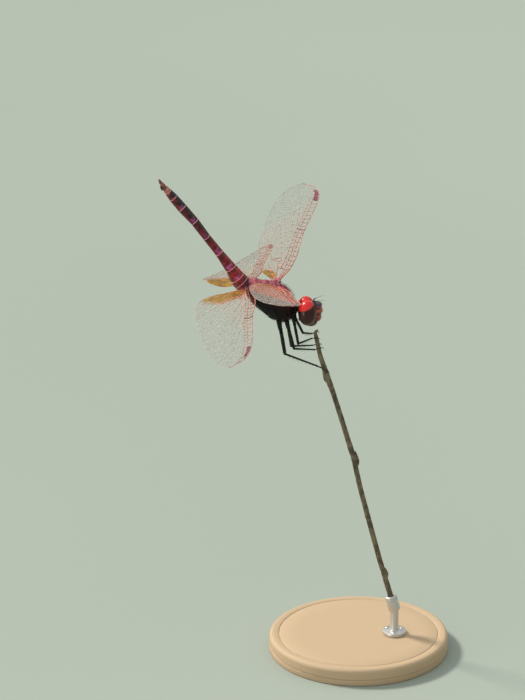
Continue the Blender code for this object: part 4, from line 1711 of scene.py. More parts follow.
@dataclass
class Thorax:
    """The wing-bearing trunk with its plates and seams, the collar and the neck.

    Places of details are (x, z) counted from the front top corner of the
    thorax, in millimetres.
    """

    rings: int = 230
    sides: int = 220
    squareness: float = 2.15
    seams: tuple[Line, ...] = (
        ((-0.8, -5.57), (-1.2, -3.2), (-2.1, -0.87)),
        ((-2.0, -6.2), (-3.4, -3.4), (-5.3, -0.67)),
        ((-3.5, -6.1), (-5.5, -3.6), (-7.8, -1.25)),
        ((-0.9, -5.3), (-3.4, -6.0), (-6.0, -4.9), (-7.6, -3.3)),
    )
    back_bumps: tuple[float, ...] = (-3.35, -4.6, -6.35, -7.35)
    breathing_hole: Pair = (-3.95, -4.15)
    seam_depth: float = 0.11
    seam_width: float = 0.1

    def __post_init__(self) -> None:
        """Find the thorax in the frame."""
        self.low, self.high = node_box("thorax")

    def stations(self) -> Array:
        """Rows of x, centre z, half height and half width, read from the solid.

        Returns:
            One station a row.
        """
        half = (self.high[0] - self.low[0]) / 2 - 0.02
        rows = []
        for turn in np.linspace(0, math.pi, 15):
            x = (self.low[0] + self.high[0]) / 2 - half * math.cos(turn)
            ring = cut_outline("thorax", vec(x, 0, 0), vec(1, 0, 0))
            low, high = ring.min(0), ring.max(0)
            rows.append((x, (low[2] + high[2]) / 2, (high[2] - low[2]) / 2, high[1]))
        return np.array(rows)

    def surface(self) -> Array:
        """The detailed surface as rings round the body, from the rear to the front.

        Returns:
            Rings by sides by 3.
        """
        rows = spline(self.stations(), (1 - np.cos(np.linspace(0, math.pi, self.rings))) / 2 * 0.4
                      + np.linspace(0, 0.6, self.rings))
        turn = circle(self.sides)
        side, height = rounded(turn, self.squareness)
        x = np.repeat(rows[:, :1], self.sides, axis=1)
        y = rows[:, 3:4] * side
        z = rows[:, 1:2] + rows[:, 2:3] * height
        points = np.stack([x, y, z], -1)
        outward = unit(np.stack([np.zeros_like(x), side / rows[:, 3:4], height / rows[:, 2:3]], -1))
        return points + outward * self.relief(points, height)[..., None]

    def relief(self, points: Array, height: Array) -> Array:
        """How far the surface stands out of the plain form at each point.

        Args:
            points: Points of the plain form.
            height: How high each lies, from -1 to 1.

        Returns:
            The heights in millimetres.
        """
        x, y, z = points[..., 0] - self.high[0], points[..., 1], points[..., 2] - self.high[2]
        flank = step(np.abs(y), 0.5, 1.3)
        out = ripple(points, 1.5, 3) * 0.03 + ripple(points, 0.5, 4) * 0.008
        for line in self.seams:
            away = groove_distance(x, z, line)
            out -= flank * self.seam_depth * np.exp(-(away / self.seam_width) ** 2)
            out += flank * 0.06 * np.exp(-((away - 0.3) / 0.16) ** 2)
        back = step(height, 0.72, 0.95)
        for place_x in self.back_bumps:
            out += back * 0.26 * swell(x, place_x, 0.42) * swell(y, 0, 0.75)
        for place_x in self.back_bumps[::2]:
            for side in (-1, 1):
                out += back * 0.14 * swell(x, place_x + 0.25, 0.4) * swell(y, side * 0.95, 0.28)
        out -= step(height, 0.6, 0.8) * 0.2 * swell(np.abs(y), 1.32, 0.2) * step(-x, 2.4, 2.9)
        front = step(-x, 2.9, 2.3) * step(height, -0.2, 0.4)
        out += front * 0.13 * np.exp(-(y / 0.07) ** 2)
        out += front * 0.1 * np.exp(-((x + 2.35) / 0.11) ** 2)
        hole_x, hole_z = self.breathing_hole
        away = np.hypot((x - hole_x) / 0.7, z - hole_z)
        out += flank * (0.06 * np.exp(-((away - 0.24) / 0.07) ** 2) - 0.12 * np.exp(-(away / 0.16) ** 2))
        belly = step(-height, 0.75, 0.9)
        out -= belly * 0.08 * np.exp(-(y / 0.09) ** 2)
        out -= belly * 0.06 * (swell(x, -2.6, 0.12) + swell(x, -4.3, 0.12))
        return out

    def build(self) -> Object:
        """Build the thorax, its collar and the neck; the thorax is returned.

        Returns:
            The thorax.
        """
        draft = Draft()
        points = self.surface()
        draft.sheet(points, unrolled(*points.shape[:2]))
        piece = draft.place("thorax_shell", THORAX_SHELL, "thorax_cuticle", "thorax")
        self.build_collar()
        self.build_neck()
        return piece

    def build_collar(self) -> None:
        """The small front segment: three upright lobes and side plates."""
        low, high = node_box("prothorax")
        centre, half = (low + high) / 2, (high - low) / 2
        draft = Draft()
        draft.ball(centre, half, sides=40)
        draft.ball(centre + vec(-0.12, 0, half[2] * 0.86), (0.17, 0.62, 0.3), sides=28)
        draft.ball(centre + vec(0.1, 0, half[2] * 0.6), (0.2, 0.5, 0.22), sides=28)
        for side in (-1, 1):
            draft.ball(centre + vec(-0.05, side * 0.55, -0.3), (0.34, 0.4, 0.52), sides=24)
            draft.ball(centre + vec(-0.2, side * 0.42, -0.95), (0.3, 0.34, 0.42), sides=20)
        draft.place("collar", LEG_SHELL, "thorax_cuticle", "prothorax")

    def build_neck(self) -> None:
        """A pleated neck between the collar and the head."""
        collar_low, collar_high = node_box("prothorax")
        rear = node_box("head_capsule")[0][0]
        start = (collar_low + collar_high) / 2 - vec(0, 0, 0.05)
        end = vec(rear + 0.55, 0, start[2] - 0.45)
        share = np.linspace(0, 1, 34)
        path = start + np.outer(share, end - start)
        draft = Draft()
        draft.tube(path, 0.36 + 0.03 * np.sin(share * math.tau * 6), 28)
        draft.place("neck", NECK, "thorax_cuticle")


@dataclass(frozen=True)
class Segment:
    """One abdomen segment: length, rise in degrees, and half height and width at its far end."""

    length: float
    rise: float
    half_height: float
    half_width: float
    ribs: tuple[float, ...] = ()


@dataclass
class Abdomen:
    """The ten segments of the raised abdomen, their joints and the claspers at the tip."""

    segments: tuple[Segment, ...] = (
        Segment(0.87, 45.7, 1.4, 1.42, (0.45,)), Segment(1.04, 49.8, 1.31, 1.42, (0.3, 0.62)),
        Segment(1.98, 58.0, 0.95, 1.12, (0.22, 0.55)), Segment(3.21, 54.1, 0.67, 0.87, (0.14,)),
        Segment(3.42, 52.6, 0.63, 0.84), Segment(3.34, 54.2, 0.69, 0.93), Segment(3.08, 48.6, 0.8, 1.02),
        Segment(2.21, 50.6, 0.75, 0.95), Segment(1.33, 50.6, 0.6, 0.76), Segment(0.83, 51.5, 0.45, 0.56))
    base_half: Pair = (1.36, 1.3)
    base_drop: float = 1.16
    rings: int = 44
    sides: int = 72
    squareness: float = 1.95
    joint: float = 0.055

    def __post_init__(self) -> None:
        """Lay out the joints from the rear of the thorax."""
        low, high = node_box("thorax")
        spots, ways = [vec(low[0], 0, high[2] - self.base_drop)], []
        for segment in self.segments:
            rise = math.radians(segment.rise)
            ways.append(vec(-math.cos(rise), 0, math.sin(rise)))
            spots.append(spots[-1] + ways[-1] * segment.length)
        self.spots, self.ways = np.array(spots), np.array(ways)
        halves = [self.base_half] + [(s.half_height, s.half_width) for s in self.segments]
        self.halves = np.array(halves)

    def upward(self, index: int) -> Array:
        """The direction of the insect's back at a joint."""
        before, after = self.ways[max(index - 1, 0)], self.ways[min(index, len(self.ways) - 1)]
        return unit(np.cross(ACROSS, unit(before + after)))

    def rings_at(self, index: int, shares: Array, grow: Array) -> Array:
        """Plain rings of one segment at shares of its length, each grown by some millimetres.

        Args:
            index: The segment's number from 0.
            shares: Shares of its length.
            grow: Millimetres added to each ring.

        Returns:
            Rings by sides by 3.
        """
        share = shares[:, None]
        middle = self.spots[index] + share * (self.spots[index + 1] - self.spots[index])
        upward = unit(self.upward(index) + share * (self.upward(index + 1) - self.upward(index)))
        half = self.halves[index] + share * (self.halves[index + 1] - self.halves[index]) + grow[:, None]
        side, height = rounded(circle(self.sides), self.squareness)
        return (middle[:, None] + ACROSS * (half[:, 1:] * side)[..., None]
                + upward[:, None] * (half[:, :1] * height)[..., None])

    def shell(self, index: int) -> tuple[Array, Array]:
        """Points and plane coordinates of one segment's shell.

        Args:
            index: The segment's number from 0.

        Returns:
            The points and the coordinates, as a sheet takes them.
        """
        segment = self.segments[index]
        gap = self.joint / segment.length
        shares = np.linspace(gap, 1 - gap, self.rings)
        length = shares * segment.length
        left = segment.length - length
        edge = 0.035 * swell(left, 0.0, 0.13) - 0.03 * swell(length, 0.0, 0.1)
        edge = edge - 0.015 * swell(left, 0.22, 0.07)
        points = self.rings_at(index, shares, edge)
        turn = np.linspace(0, 1, self.sides, endpoint=False)
        up = np.abs(turn - 0.5) * 2
        centre = points.mean(1, keepdims=True)
        outward = unit(points - centre)
        relief = 0.07 * np.exp(-(up / 0.035) ** 2) - 0.02 * swell(up, 0.1, 0.05)
        relief = relief + 0.045 * swell(up, 0.68, 0.02) - 0.05 * swell(up, 0.73, 0.03)
        relief = relief - 0.03 * step(up, 0.74, 0.8) + 0.04 * swell(up, 1.0, 0.05)
        calm = np.minimum(step(length, 0.0, 0.12), step(left, 0.0, 0.12))[:, None]
        lift = relief[None] * calm
        for rib in segment.ribs:
            ridge = 0.04 * swell(shares, rib, 0.035 / segment.length)
            lift = lift + ridge[:, None] * step(up, 0.76, 0.68)
        lift = lift + ripple(points, 0.9, 11 + index) * 0.012
        points = points + outward * lift[..., None]
        plane = unrolled(self.rings, self.sides)
        plane[..., 0] = ((index + shares) / len(self.segments))[:, None]
        return points, plane

    def build(self) -> list[Object]:
        """Build every segment, the joints between them and the claspers.

        Returns:
            The segments' shells.
        """
        shells = []
        for index in range(len(self.segments)):
            points, plane = self.shell(index)
            draft = Draft()
            draft.sheet(points, plane)
            self.add_teeth(draft, points, plane)
            name = "abdomen_%d" % (index + 1)
            shells.append(draft.place(name + "_shell", ABDOMEN_SHELL, "abdomen_cuticle", name))
        self.build_joints()
        self.build_tail()
        return shells

    def add_teeth(self, draft: Draft, points: Array, plane: Array) -> None:
        """A row of tiny teeth along the rear edge of a shell.

        Args:
            draft: The shell's draft.
            points: The shell's points.
            plane: Its plane coordinates.
        """
        ahead = unit(points[-1] - points[-4])
        for column in range(2, self.sides, 3):
            root = points[-2, column]
            spot = np.repeat(plane[-1:, column], 2, axis=0)
            draft.tube(np.stack([root, root + ahead[column] * 0.07]), vec(0.022, 0.004), 4, spot)

    def build_joints(self) -> None:
        """The pale soft skin that shows between the segments."""
        draft = Draft()
        reach, grow = vec(0.2, 0.1, 0.04), vec(-0.12, -0.03, 0.0)
        for index in range(1, len(self.segments)):
            before, after = self.segments[index - 1].length, self.segments[index].length
            first = self.rings_at(index - 1, 1 - reach / before, grow)
            second = self.rings_at(index, reach[::-1] / after, grow[::-1])
            points = np.vstack([first, second])
            draft.sheet(points, unrolled(*points.shape[:2]))
        draft.place("abdomen_joints", JOINT_SKIN, "abdomen_cuticle")

    def build_tail(self) -> None:
        """The two claspers above and the single one below."""
        tip, along = self.spots[-1], self.ways[-1]
        upward = unit(np.cross(ACROSS, along))
        share = np.linspace(0, 1, 26)
        for side, name in ((1, "cercus_left"), (-1, "cercus_right")):
            draft = Draft()
            path = (tip + np.outer(0.02 + 1.8 * share, along) + ACROSS * side * (0.3 - 0.1 * share[:, None])
                    + np.outer(0.1 + 0.02 * share - 0.06 * swell(share, 0.62, 0.2), upward))
            radii = np.interp(share, (0, 0.12, 0.4, 0.68, 0.85, 0.96, 1),
                              (0.27, 0.24, 0.24, 0.23, 0.16, 0.08, 0.02))
            draft.tube(path, radii, 20, flat=0.85)
            for place_share in np.linspace(0.5, 0.78, 7):
                root = path[int(place_share * 25)] - upward * 0.17
                draft.spike(root, root - upward * 0.08 + along * 0.04, 0.03, along * 0.01)
            draft.place(name + "_clasper", CLASPER, "abdomen_cuticle", name)
        draft = Draft()
        path = tip + np.outer(0.02 + 0.82 * share, along) - np.outer(0.34 - 0.1 * share ** 2, upward)
        radii = np.interp(share, (0, 0.3, 0.7, 0.9, 1), (0.28, 0.26, 0.2, 0.13, 0.03))
        draft.tube(path, radii, 20, flat=1.25)
        for side in (-1, 1):
            seat = tip + along * 0.15 - upward * 0.15 + ACROSS * side * 0.33
            draft.ball(seat, (0.15, 0.12, 0.16), sides=14)
        draft.place("lower_clasper", CLASPER, "abdomen_cuticle", "epiproct")


# ---- head ----
def trimmed(points: Array, at: Array, normal: Array) -> Array:
    """Press the points that lie beyond a plane back onto it."""
    over = np.maximum((points - at) @ normal, 0)
    return points - over[..., None] * normal


@dataclass
class Eye:
    """One large compound eye, flat where it meets its twin on top of the head."""

    side: int
    axes: Triple = (1.5, 1.46, 2.13)
    lean: float = 12.0
    seam_gap: float = 0.025
    seam_rise: float = 0.91
    uneven: float = 0.1               # how much the left eye sits lower, as the head leans
    splay: float = 24.0
    cap: Triple = (-0.19, 0.093, 0.5)
    cap_edge: float = 0.545
    sides: int = 120

    def __post_init__(self) -> None:
        """Find the eye's node, centre and lean."""
        self.node = "eye_left" if self.side > 0 else "eye_right"
        low, high = node_box(self.node)
        lean = math.radians(self.lean) * self.side
        c, s = math.cos(lean), math.sin(lean)
        self.turn = np.array([[1, 0, 0], [0, c, s], [0, -s, c]])
        reach = math.hypot(self.axes[1] * c, self.axes[2] * s)
        outer = high[1] if self.side > 0 else -low[1]
        self.centre = vec((low[0] + high[0]) / 2, self.side * (outer - reach), (low[2] + high[2]) / 2)

    def build(self) -> None:
        """Build the eye, pressed flat where it meets its twin."""
        draft = Draft()
        draft.ball(self.centre, self.axes, self.turn, self.sides)
        splay = math.radians(self.splay)
        inward = vec(0, -self.side, 0)
        below = vec(0, -self.side * math.cos(splay), -math.sin(splay))
        rise = self.centre[2] + self.seam_rise + self.side * self.uneven
        seam = vec(0, self.side * self.seam_gap, rise)
        draft.points[0] = trimmed(trimmed(draft.points[0], seam, inward), seam, below)
        centre = tuple(self.centre.tolist())
        cap = (self.cap[0], self.cap[1] * self.side, self.cap[2])
        finish = EyeFinish(self.node + "_facets", 0.2, centre=centre, cap=cap, cap_edge=self.cap_edge)
        draft.place(self.node + "_facets", finish, "compound_eye", self.node, crease=75.0)


@dataclass(frozen=True)
class FacePart:
    """A rounded plate of the face: its node, half axes, and corner of the node's box to fit.

    The corner gives for x and z whether the plate ends at the low (-1) or
    high (1) side of the node's box, or lies in its middle (0).
    """

    node: str
    axes: Triple
    corner: tuple[int, int]

    def centre(self) -> Array:
        """The middle of the plate.

        Returns:
            The point.
        """
        low, high = node_box(self.node)
        middle = (low + high) / 2
        for axis, way in ((0, self.corner[0]), (2, self.corner[1])):
            if way:
                middle[axis] = (high[axis] if way > 0 else low[axis]) - way * self.axes[axis]
        return middle


@dataclass
class Head:
    """Eyes, face plates, crown, feelers and the back of the head."""

    frons: FacePart = FacePart("frons", (0.86, 0.96, 0.6), (0, 0))
    clypeus: FacePart = FacePart("clypeus", (0.94, 1.22, 0.66), (0, -1))
    labrum: FacePart = FacePart("labrum", (0.86, 1.15, 0.85), (1, -1))
    labium: FacePart = FacePart("labium", (1.15, 1.2, 0.8), (-1, -1))
    vertex: FacePart = FacePart("vertex", (0.42, 0.42, 0.42), (-1, 1))
    sides: int = 84

    def build(self) -> dict[str, Object]:
        """Build the head; the face plates that carry hair are returned by name.

        Returns:
            The face plates by node.
        """
        for side in (1, -1):
            Eye(side).build()
        self.build_back()
        self.build_crown()
        self.build_feelers()
        return {"frons": self.build_frons(), "clypeus": self.build_clypeus(), "labrum": self.build_labrum(),
                "labium": self.build_labium()}

    def build_frons(self) -> Object:
        """The shining forehead: two swollen lobes with a furrow between them.

        Returns:
            The forehead.
        """
        def lobes(ball: Array) -> Array:
            """Swell both lobes and press in the furrow between them.

            Args:
                ball: Points of the unit ball.

            Returns:
                The points moved.
            """
            x, y, z = np.moveaxis(ball, -1, 0)
            front = step(x, -0.3, 0.5)
            grow = 1 + front * (0.06 * swell(np.abs(y), 0.42, 0.3) - 0.17 * swell(y, 0, 0.13))
            grow = grow - 0.06 * front * swell(z, -0.42, 0.09)
            return ball * grow[..., None]

        draft = Draft()
        draft.ball(self.frons.centre(), self.frons.axes, sides=self.sides, shape=lobes)
        return draft.place("forehead", FOREHEAD, "forehead_plate", "frons")

    def build_clypeus(self) -> Object:
        """The plates below the forehead: a broad upper one and a narrow lower one.

        Returns:
            The plates.
        """
        def folded(ball: Array) -> Array:
            """Press in the fold across it and the dents beside it.

            Args:
                ball: Points of the unit ball.

            Returns:
                The points moved.
            """
            x, y, z = np.moveaxis(ball, -1, 0)
            front = step(x, -0.2, 0.5)
            grow = 1 - front * (0.09 * swell(z, -0.35, 0.1) + 0.05 * swell(np.abs(y), 0.72, 0.12))
            grow = grow + front * 0.05 * swell(z, -0.05, 0.22) * swell(np.abs(y), 0.3, 0.3)
            return ball * grow[..., None]

        draft = Draft()
        draft.ball(self.clypeus.centre(), self.clypeus.axes, sides=self.sides, shape=folded)
        return draft.place("upper_face", FACE, "face_plate", "clypeus")

    def build_labrum(self) -> Object:
        """The upper lip, with a shallow dent and a notch in its lower edge, and the jaw bases.

        Returns:
            The upper lip.
        """
        def dented(ball: Array) -> Array:
            """Press in the dent, the notch and the groove above the edge.

            Args:
                ball: Points of the unit ball.

            Returns:
                The points moved.
            """
            x, y, z = np.moveaxis(ball, -1, 0)
            front = step(x, -0.1, 0.5)
            grow = 1 - front * 0.09 * swell(y, 0, 0.16) * swell(z, 0.25, 0.3)
            grow = grow - 0.12 * swell(y, 0, 0.1) * step(-z, 0.55, 0.9)
            grow = grow - front * 0.06 * swell(z, 0.72, 0.07)
            return ball * grow[..., None]

        draft = Draft()
        centre = self.labrum.centre()
        draft.ball(centre, self.labrum.axes, sides=self.sides, shape=dented)
        for side in (-1, 1):
            draft.ball(centre + vec(-0.55, side * 0.98, 0.1), (0.42, 0.3, 0.62), sides=36)
        return draft.place("upper_lip", LIP, "face_plate", "labrum")

    def build_labium(self) -> Object:
        """The lower lip: a middle lobe under two side lobes that meet.

        Returns:
            The lower lip.
        """
        draft = Draft()
        centre, axes = self.labium.centre(), np.array(self.labium.axes)
        for side in (-1, 1):
            draft.ball(centre + vec(0.1, side * 0.5, 0.0), axes * (0.95, 0.56, 0.96), sides=60)
        draft.ball(centre + vec(-0.35, 0, -0.14), axes * (0.72, 0.3, 0.88), sides=48)
        for side in (-1, 1):
            root = centre + vec(0.95, side * 0.22, 0.05)
            draft.spike(root, root + vec(0.22, -side * 0.08, 0.2), 0.06, vec(0.05, 0, 0))
        return draft.place("lower_lip", LOWER_LIP, "face_plate", "labium")

    def build_crown(self) -> None:
        """The knob between the eyes with its three simple eyes."""
        centre, axes = self.vertex.centre(), np.array(self.vertex.axes)
        draft = Draft()
        draft.ball(centre, axes, sides=44)
        for side in (-1, 1):
            draft.ball(centre + axes * (0.0, side * 0.38, 0.72), axes * 0.42, sides=26)
        draft.place("crown", FOREHEAD, "forehead_plate", "vertex")
        lenses = Draft()
        lenses.ball(centre + axes * (0.95, 0, 0.05), (0.15, 0.17, 0.15), sides=22)
        for side in (-1, 1):
            lenses.ball(centre + axes * (0.1, side * 0.95, 0.15), (0.12, 0.1, 0.12), sides=20)
        lenses.place("simple_eyes", SIMPLE_EYE, "compound_eye")

    def build_feelers(self) -> None:
        """Two short feelers: two stout joints and a hair-thin whip of five."""
        for side, name in ((1, "antenna_left"), (-1, "antenna_right")):
            points = node_points(name)
            start = points[points[:, 0].argsort()[:8]].mean(0)
            end = points[points[:, 0].argsort()[-8:]].mean(0)
            share = np.linspace(0, 1, 42)
            path = start + np.outer(share, end - start)
            path[:, 2] += 0.25 * share * (1 - share)
            seat = start + vec(-0.08, -side * 0.16, -0.3)
            path = np.vstack([spline([seat, start - vec(0.02, 0, 0.08)], np.linspace(0, 0.9, 6)), path])
            share = np.concatenate([np.zeros(6), share])
            radii = np.interp(share, (0, 0.08, 0.11, 0.2, 0.23, 1), (0.085, 0.085, 0.05, 0.055, 0.026, 0.01))
            radii = radii + 0.006 * swell(share, 0.42, 0.015) + 0.005 * swell(share, 0.62, 0.015)
            draft = Draft()
            draft.ball(seat, (0.17, 0.17, 0.12), sides=18)
            draft.tube(path, radii, 12)
            draft.place(name + "_feeler", LEG_SHELL, "leg_cuticle", name)

    def build_back(self) -> None:
        """The back of the head, its bumps behind the eyes and the small plate on top."""
        low, high = node_box("head_capsule")
        half = vec(1.24, 2.25, 1.78)
        centre = vec(low[0] + half[0] - 0.01, 0, low[2] + half[2] - 0.03)

        def hollow(ball: Array) -> Array:
            """Press in the middle of the rear.

            Args:
                ball: Points of the unit ball.

            Returns:
                The points moved.
            """
            x, y, z = np.moveaxis(ball, -1, 0)
            grow = 1 - 0.16 * step(-x, 0.5, 0.9) * swell(z, 0.1, 0.5) * swell(y, 0, 0.4)
            return ball * grow[..., None]

        draft = Draft()
        draft.ball(centre, half, sides=72, shape=hollow)
        for side in (-1, 1):
            for z, size in ((0.75, 0.36), (0.1, 0.42), (-0.6, 0.38)):
                draft.ball(centre + vec(-0.72, side * (1.2 - abs(z) * 0.1), z), (0.42, size, size), sides=24)
        draft.place("head_back", BACK_PLATE, "face_plate", "head_capsule")
        draft = Draft()
        face = self.clypeus.centre()
        draft.ball(face + vec(-0.12, 0, -0.25), (0.9, 1.12, 1.55), sides=48)
        for side in (-1, 1):
            draft.ball(face + vec(-0.5, side * 0.98, -0.2), (0.5, 0.36, 1.25), sides=40)
        draft.ball(vec(low[0] + 0.62, 0, high[2] + 0.12), (0.3, 0.36, 0.3), sides=24)
        draft.place("cheeks", CHEEK, "face_plate")


# ---- legs ----
def end_middle(node: str, near: Array) -> Array:
    """The middle of the end of a long CAD node that lies near a point.

    Args:
        node: The CAD node.
        near: The point.

    Returns:
        The middle.
    """
    centre, axis, reach = long_axis(node, near)
    outline = cut_outline(node, centre + axis * (reach.min() + 0.05), axis)
    return (outline.min(0) + outline.max(0)) / 2


def hanging(way: Array) -> tuple[Array, Array]:
    """The directions below and beside a way."""
    below = unit(way * way[2] - UPRIGHT)
    return below, np.cross(way, below)


@dataclass
class Leg:
    """One leg: hip, trochanter, femur, spined tibia, three-part foot and two claws."""

    name: str
    femur: float = 0.235
    tibia: Pair = (0.155, 0.115)
    foot: float = 0.085
    claw: float = 0.5
    hip: float = 0.34
    spines: int = 8
    spine_length: float = 0.75

    def joints(self) -> tuple[Array, ...]:
        """The bend below the hip, and the hip, knee, ankle and toe, read from the solids.

        Returns:
            The line of the thigh, the knee, the ankle and the toe.
        """
        femur, tibia, tarsus = ("%s_%s" % (part, self.name) for part in ("femur", "tibia", "tarsus"))
        hip_low, hip_high = node_box(femur)
        above = vec((hip_low[0] + hip_high[0]) / 2, 0, hip_high[2] + 5)
        middles, _ = middle_line(femur, above, 16)
        knee = end_middle(tibia, middles[-1] + (middles[-1] - middles[-4]))
        ankle = end_middle(tibia, 2 * node_points(tarsus).mean(0) - knee)
        toe = end_middle(tarsus, 2 * ankle - knee)
        return middles, knee, ankle, toe

    def build(self) -> None:
        """Build the leg's three pieces."""
        middles, knee, ankle, toe = self.joints()
        self.build_thigh(middles, knee)
        self.build_shin(knee, ankle)
        self.build_foot(ankle, toe)

    def build_thigh(self, middles: Array, knee: Array) -> None:
        """Hip, trochanter and femur, with short bristles below the femur.

        Args:
            middles: Middle line from the hip to the knee.
            knee: The knee.
        """
        draft = Draft()
        hip_end = int(len(middles) * 0.36)
        hip = spline(middles[:hip_end + 1], np.linspace(0, 1, 14))
        inward = hip[0] + (hip[0] - hip[3]) * 0.8
        draft.tube(np.vstack([inward, hip]), self.hip * np.interp(np.linspace(0, 1, 15), (0, 0.5, 0.85, 1),
                                                                   (1.15, 1.05, 0.85, 0.5)), 22)
        start = hip[-1]
        way = unit(knee - start)
        draft.ball(start + way * 0.12, (0.3, 0.3, 0.3), sides=20)
        share = np.linspace(0, 1, 30)
        bow = np.outer(np.sin(math.pi * share) * 0.05, vec(0, 0, 1))
        path = start + way * 0.2 + np.outer(share, knee - start - way * 0.2) + bow
        radii = self.femur * np.interp(share, (0, 0.08, 0.4, 0.8, 0.93, 1),
                                       (0.85, 0.98, 1.05, 0.96, 0.98, 0.7))
        draft.tube(path, radii, 18, flat=0.86)
        draft.ball(knee, (0.2, 0.2, 0.2), sides=18)
        below, side = hanging(way)
        for index in range(14):
            root = path[3 + index * 2 if index < 12 else 26] + below * self.femur * 0.7
            root = root + side * (0.1 if index % 2 else -0.1)
            draft.spike(root, root + below * 0.16 + way * 0.12, 0.014, way * 0.03)
        draft.place("thigh_" + self.name, LEG_SHELL, "leg_cuticle", "femur_" + self.name)

    def build_shin(self, knee: Array, ankle: Array) -> None:
        """The tibia with two rows of long spines.

        Args:
            knee: The knee.
            ankle: The ankle.
        """
        draft = Draft()
        way = unit(ankle - knee)
        share = np.linspace(0, 1, 26)
        path = knee + np.outer(share, ankle - knee)
        thick, thin = self.tibia
        radii = np.interp(share, (0, 0.06, 0.2, 0.94, 1),
                          (thick * 0.9, thick * 1.15, thick, thin, thin * 1.25))
        draft.tube(path, radii, 14)
        below, side = hanging(way)
        for row in (-1, 1):
            out = unit(below + side * row * 0.75)
            for spot in np.linspace(0.12, 0.97, self.spines):
                root = knee + (ankle - knee) * spot + out * self.tibia[1] * 0.7
                length = self.spine_length * (0.75 + 0.4 * math.sin(spot * 5))
                tip = root + out * length * 0.62 + way * length * 0.72
                draft.spike(root, tip, 0.022, out * 0.05 * length, 5)
        draft.place("shin_" + self.name, LEG_SHELL, "leg_cuticle", "tibia_" + self.name)

    def build_foot(self, ankle: Array, toe: Array) -> None:
        """Three foot joints, each wider at its end, and a pair of hooked claws.

        Args:
            ankle: The ankle.
            toe: The toe.
        """
        draft = Draft()
        way = unit(toe - ankle)
        below, side = hanging(way)
        stops = (0.0, 0.22, 0.5, 0.9)
        for first, last in zip(stops, stops[1:]):
            path = ankle + np.outer(np.linspace(first, last - 0.015, 8), toe - ankle)
            widths = np.interp(np.linspace(0, 1, 8), (0, 0.2, 0.8, 1), (0.6, 0.85, 1.1, 0.8))
            draft.tube(path, self.foot * widths, 12)
            for row in (-1, 1):
                root = path[6] + side * row * 0.05
                draft.spike(root, root + below * 0.2 + way * 0.15 + side * row * 0.08, 0.018, below * 0.02)
        share = np.linspace(0, 1, 10)
        for row in (-1, 1):
            base = ankle + (toe - ankle) * 0.86
            curl = (np.outer(np.sin(share * 1.9), way) * self.claw * 0.75
                    + np.outer(1 - np.cos(share * 1.9), below) * self.claw * 0.62
                    + np.outer(share, side) * row * self.claw * 0.4)
            draft.tube(base + curl, 0.045 * (1 - share) + 0.006, 8)
        draft.place("foot_" + self.name, LEG_SHELL, "leg_cuticle", "tarsus_" + self.name)


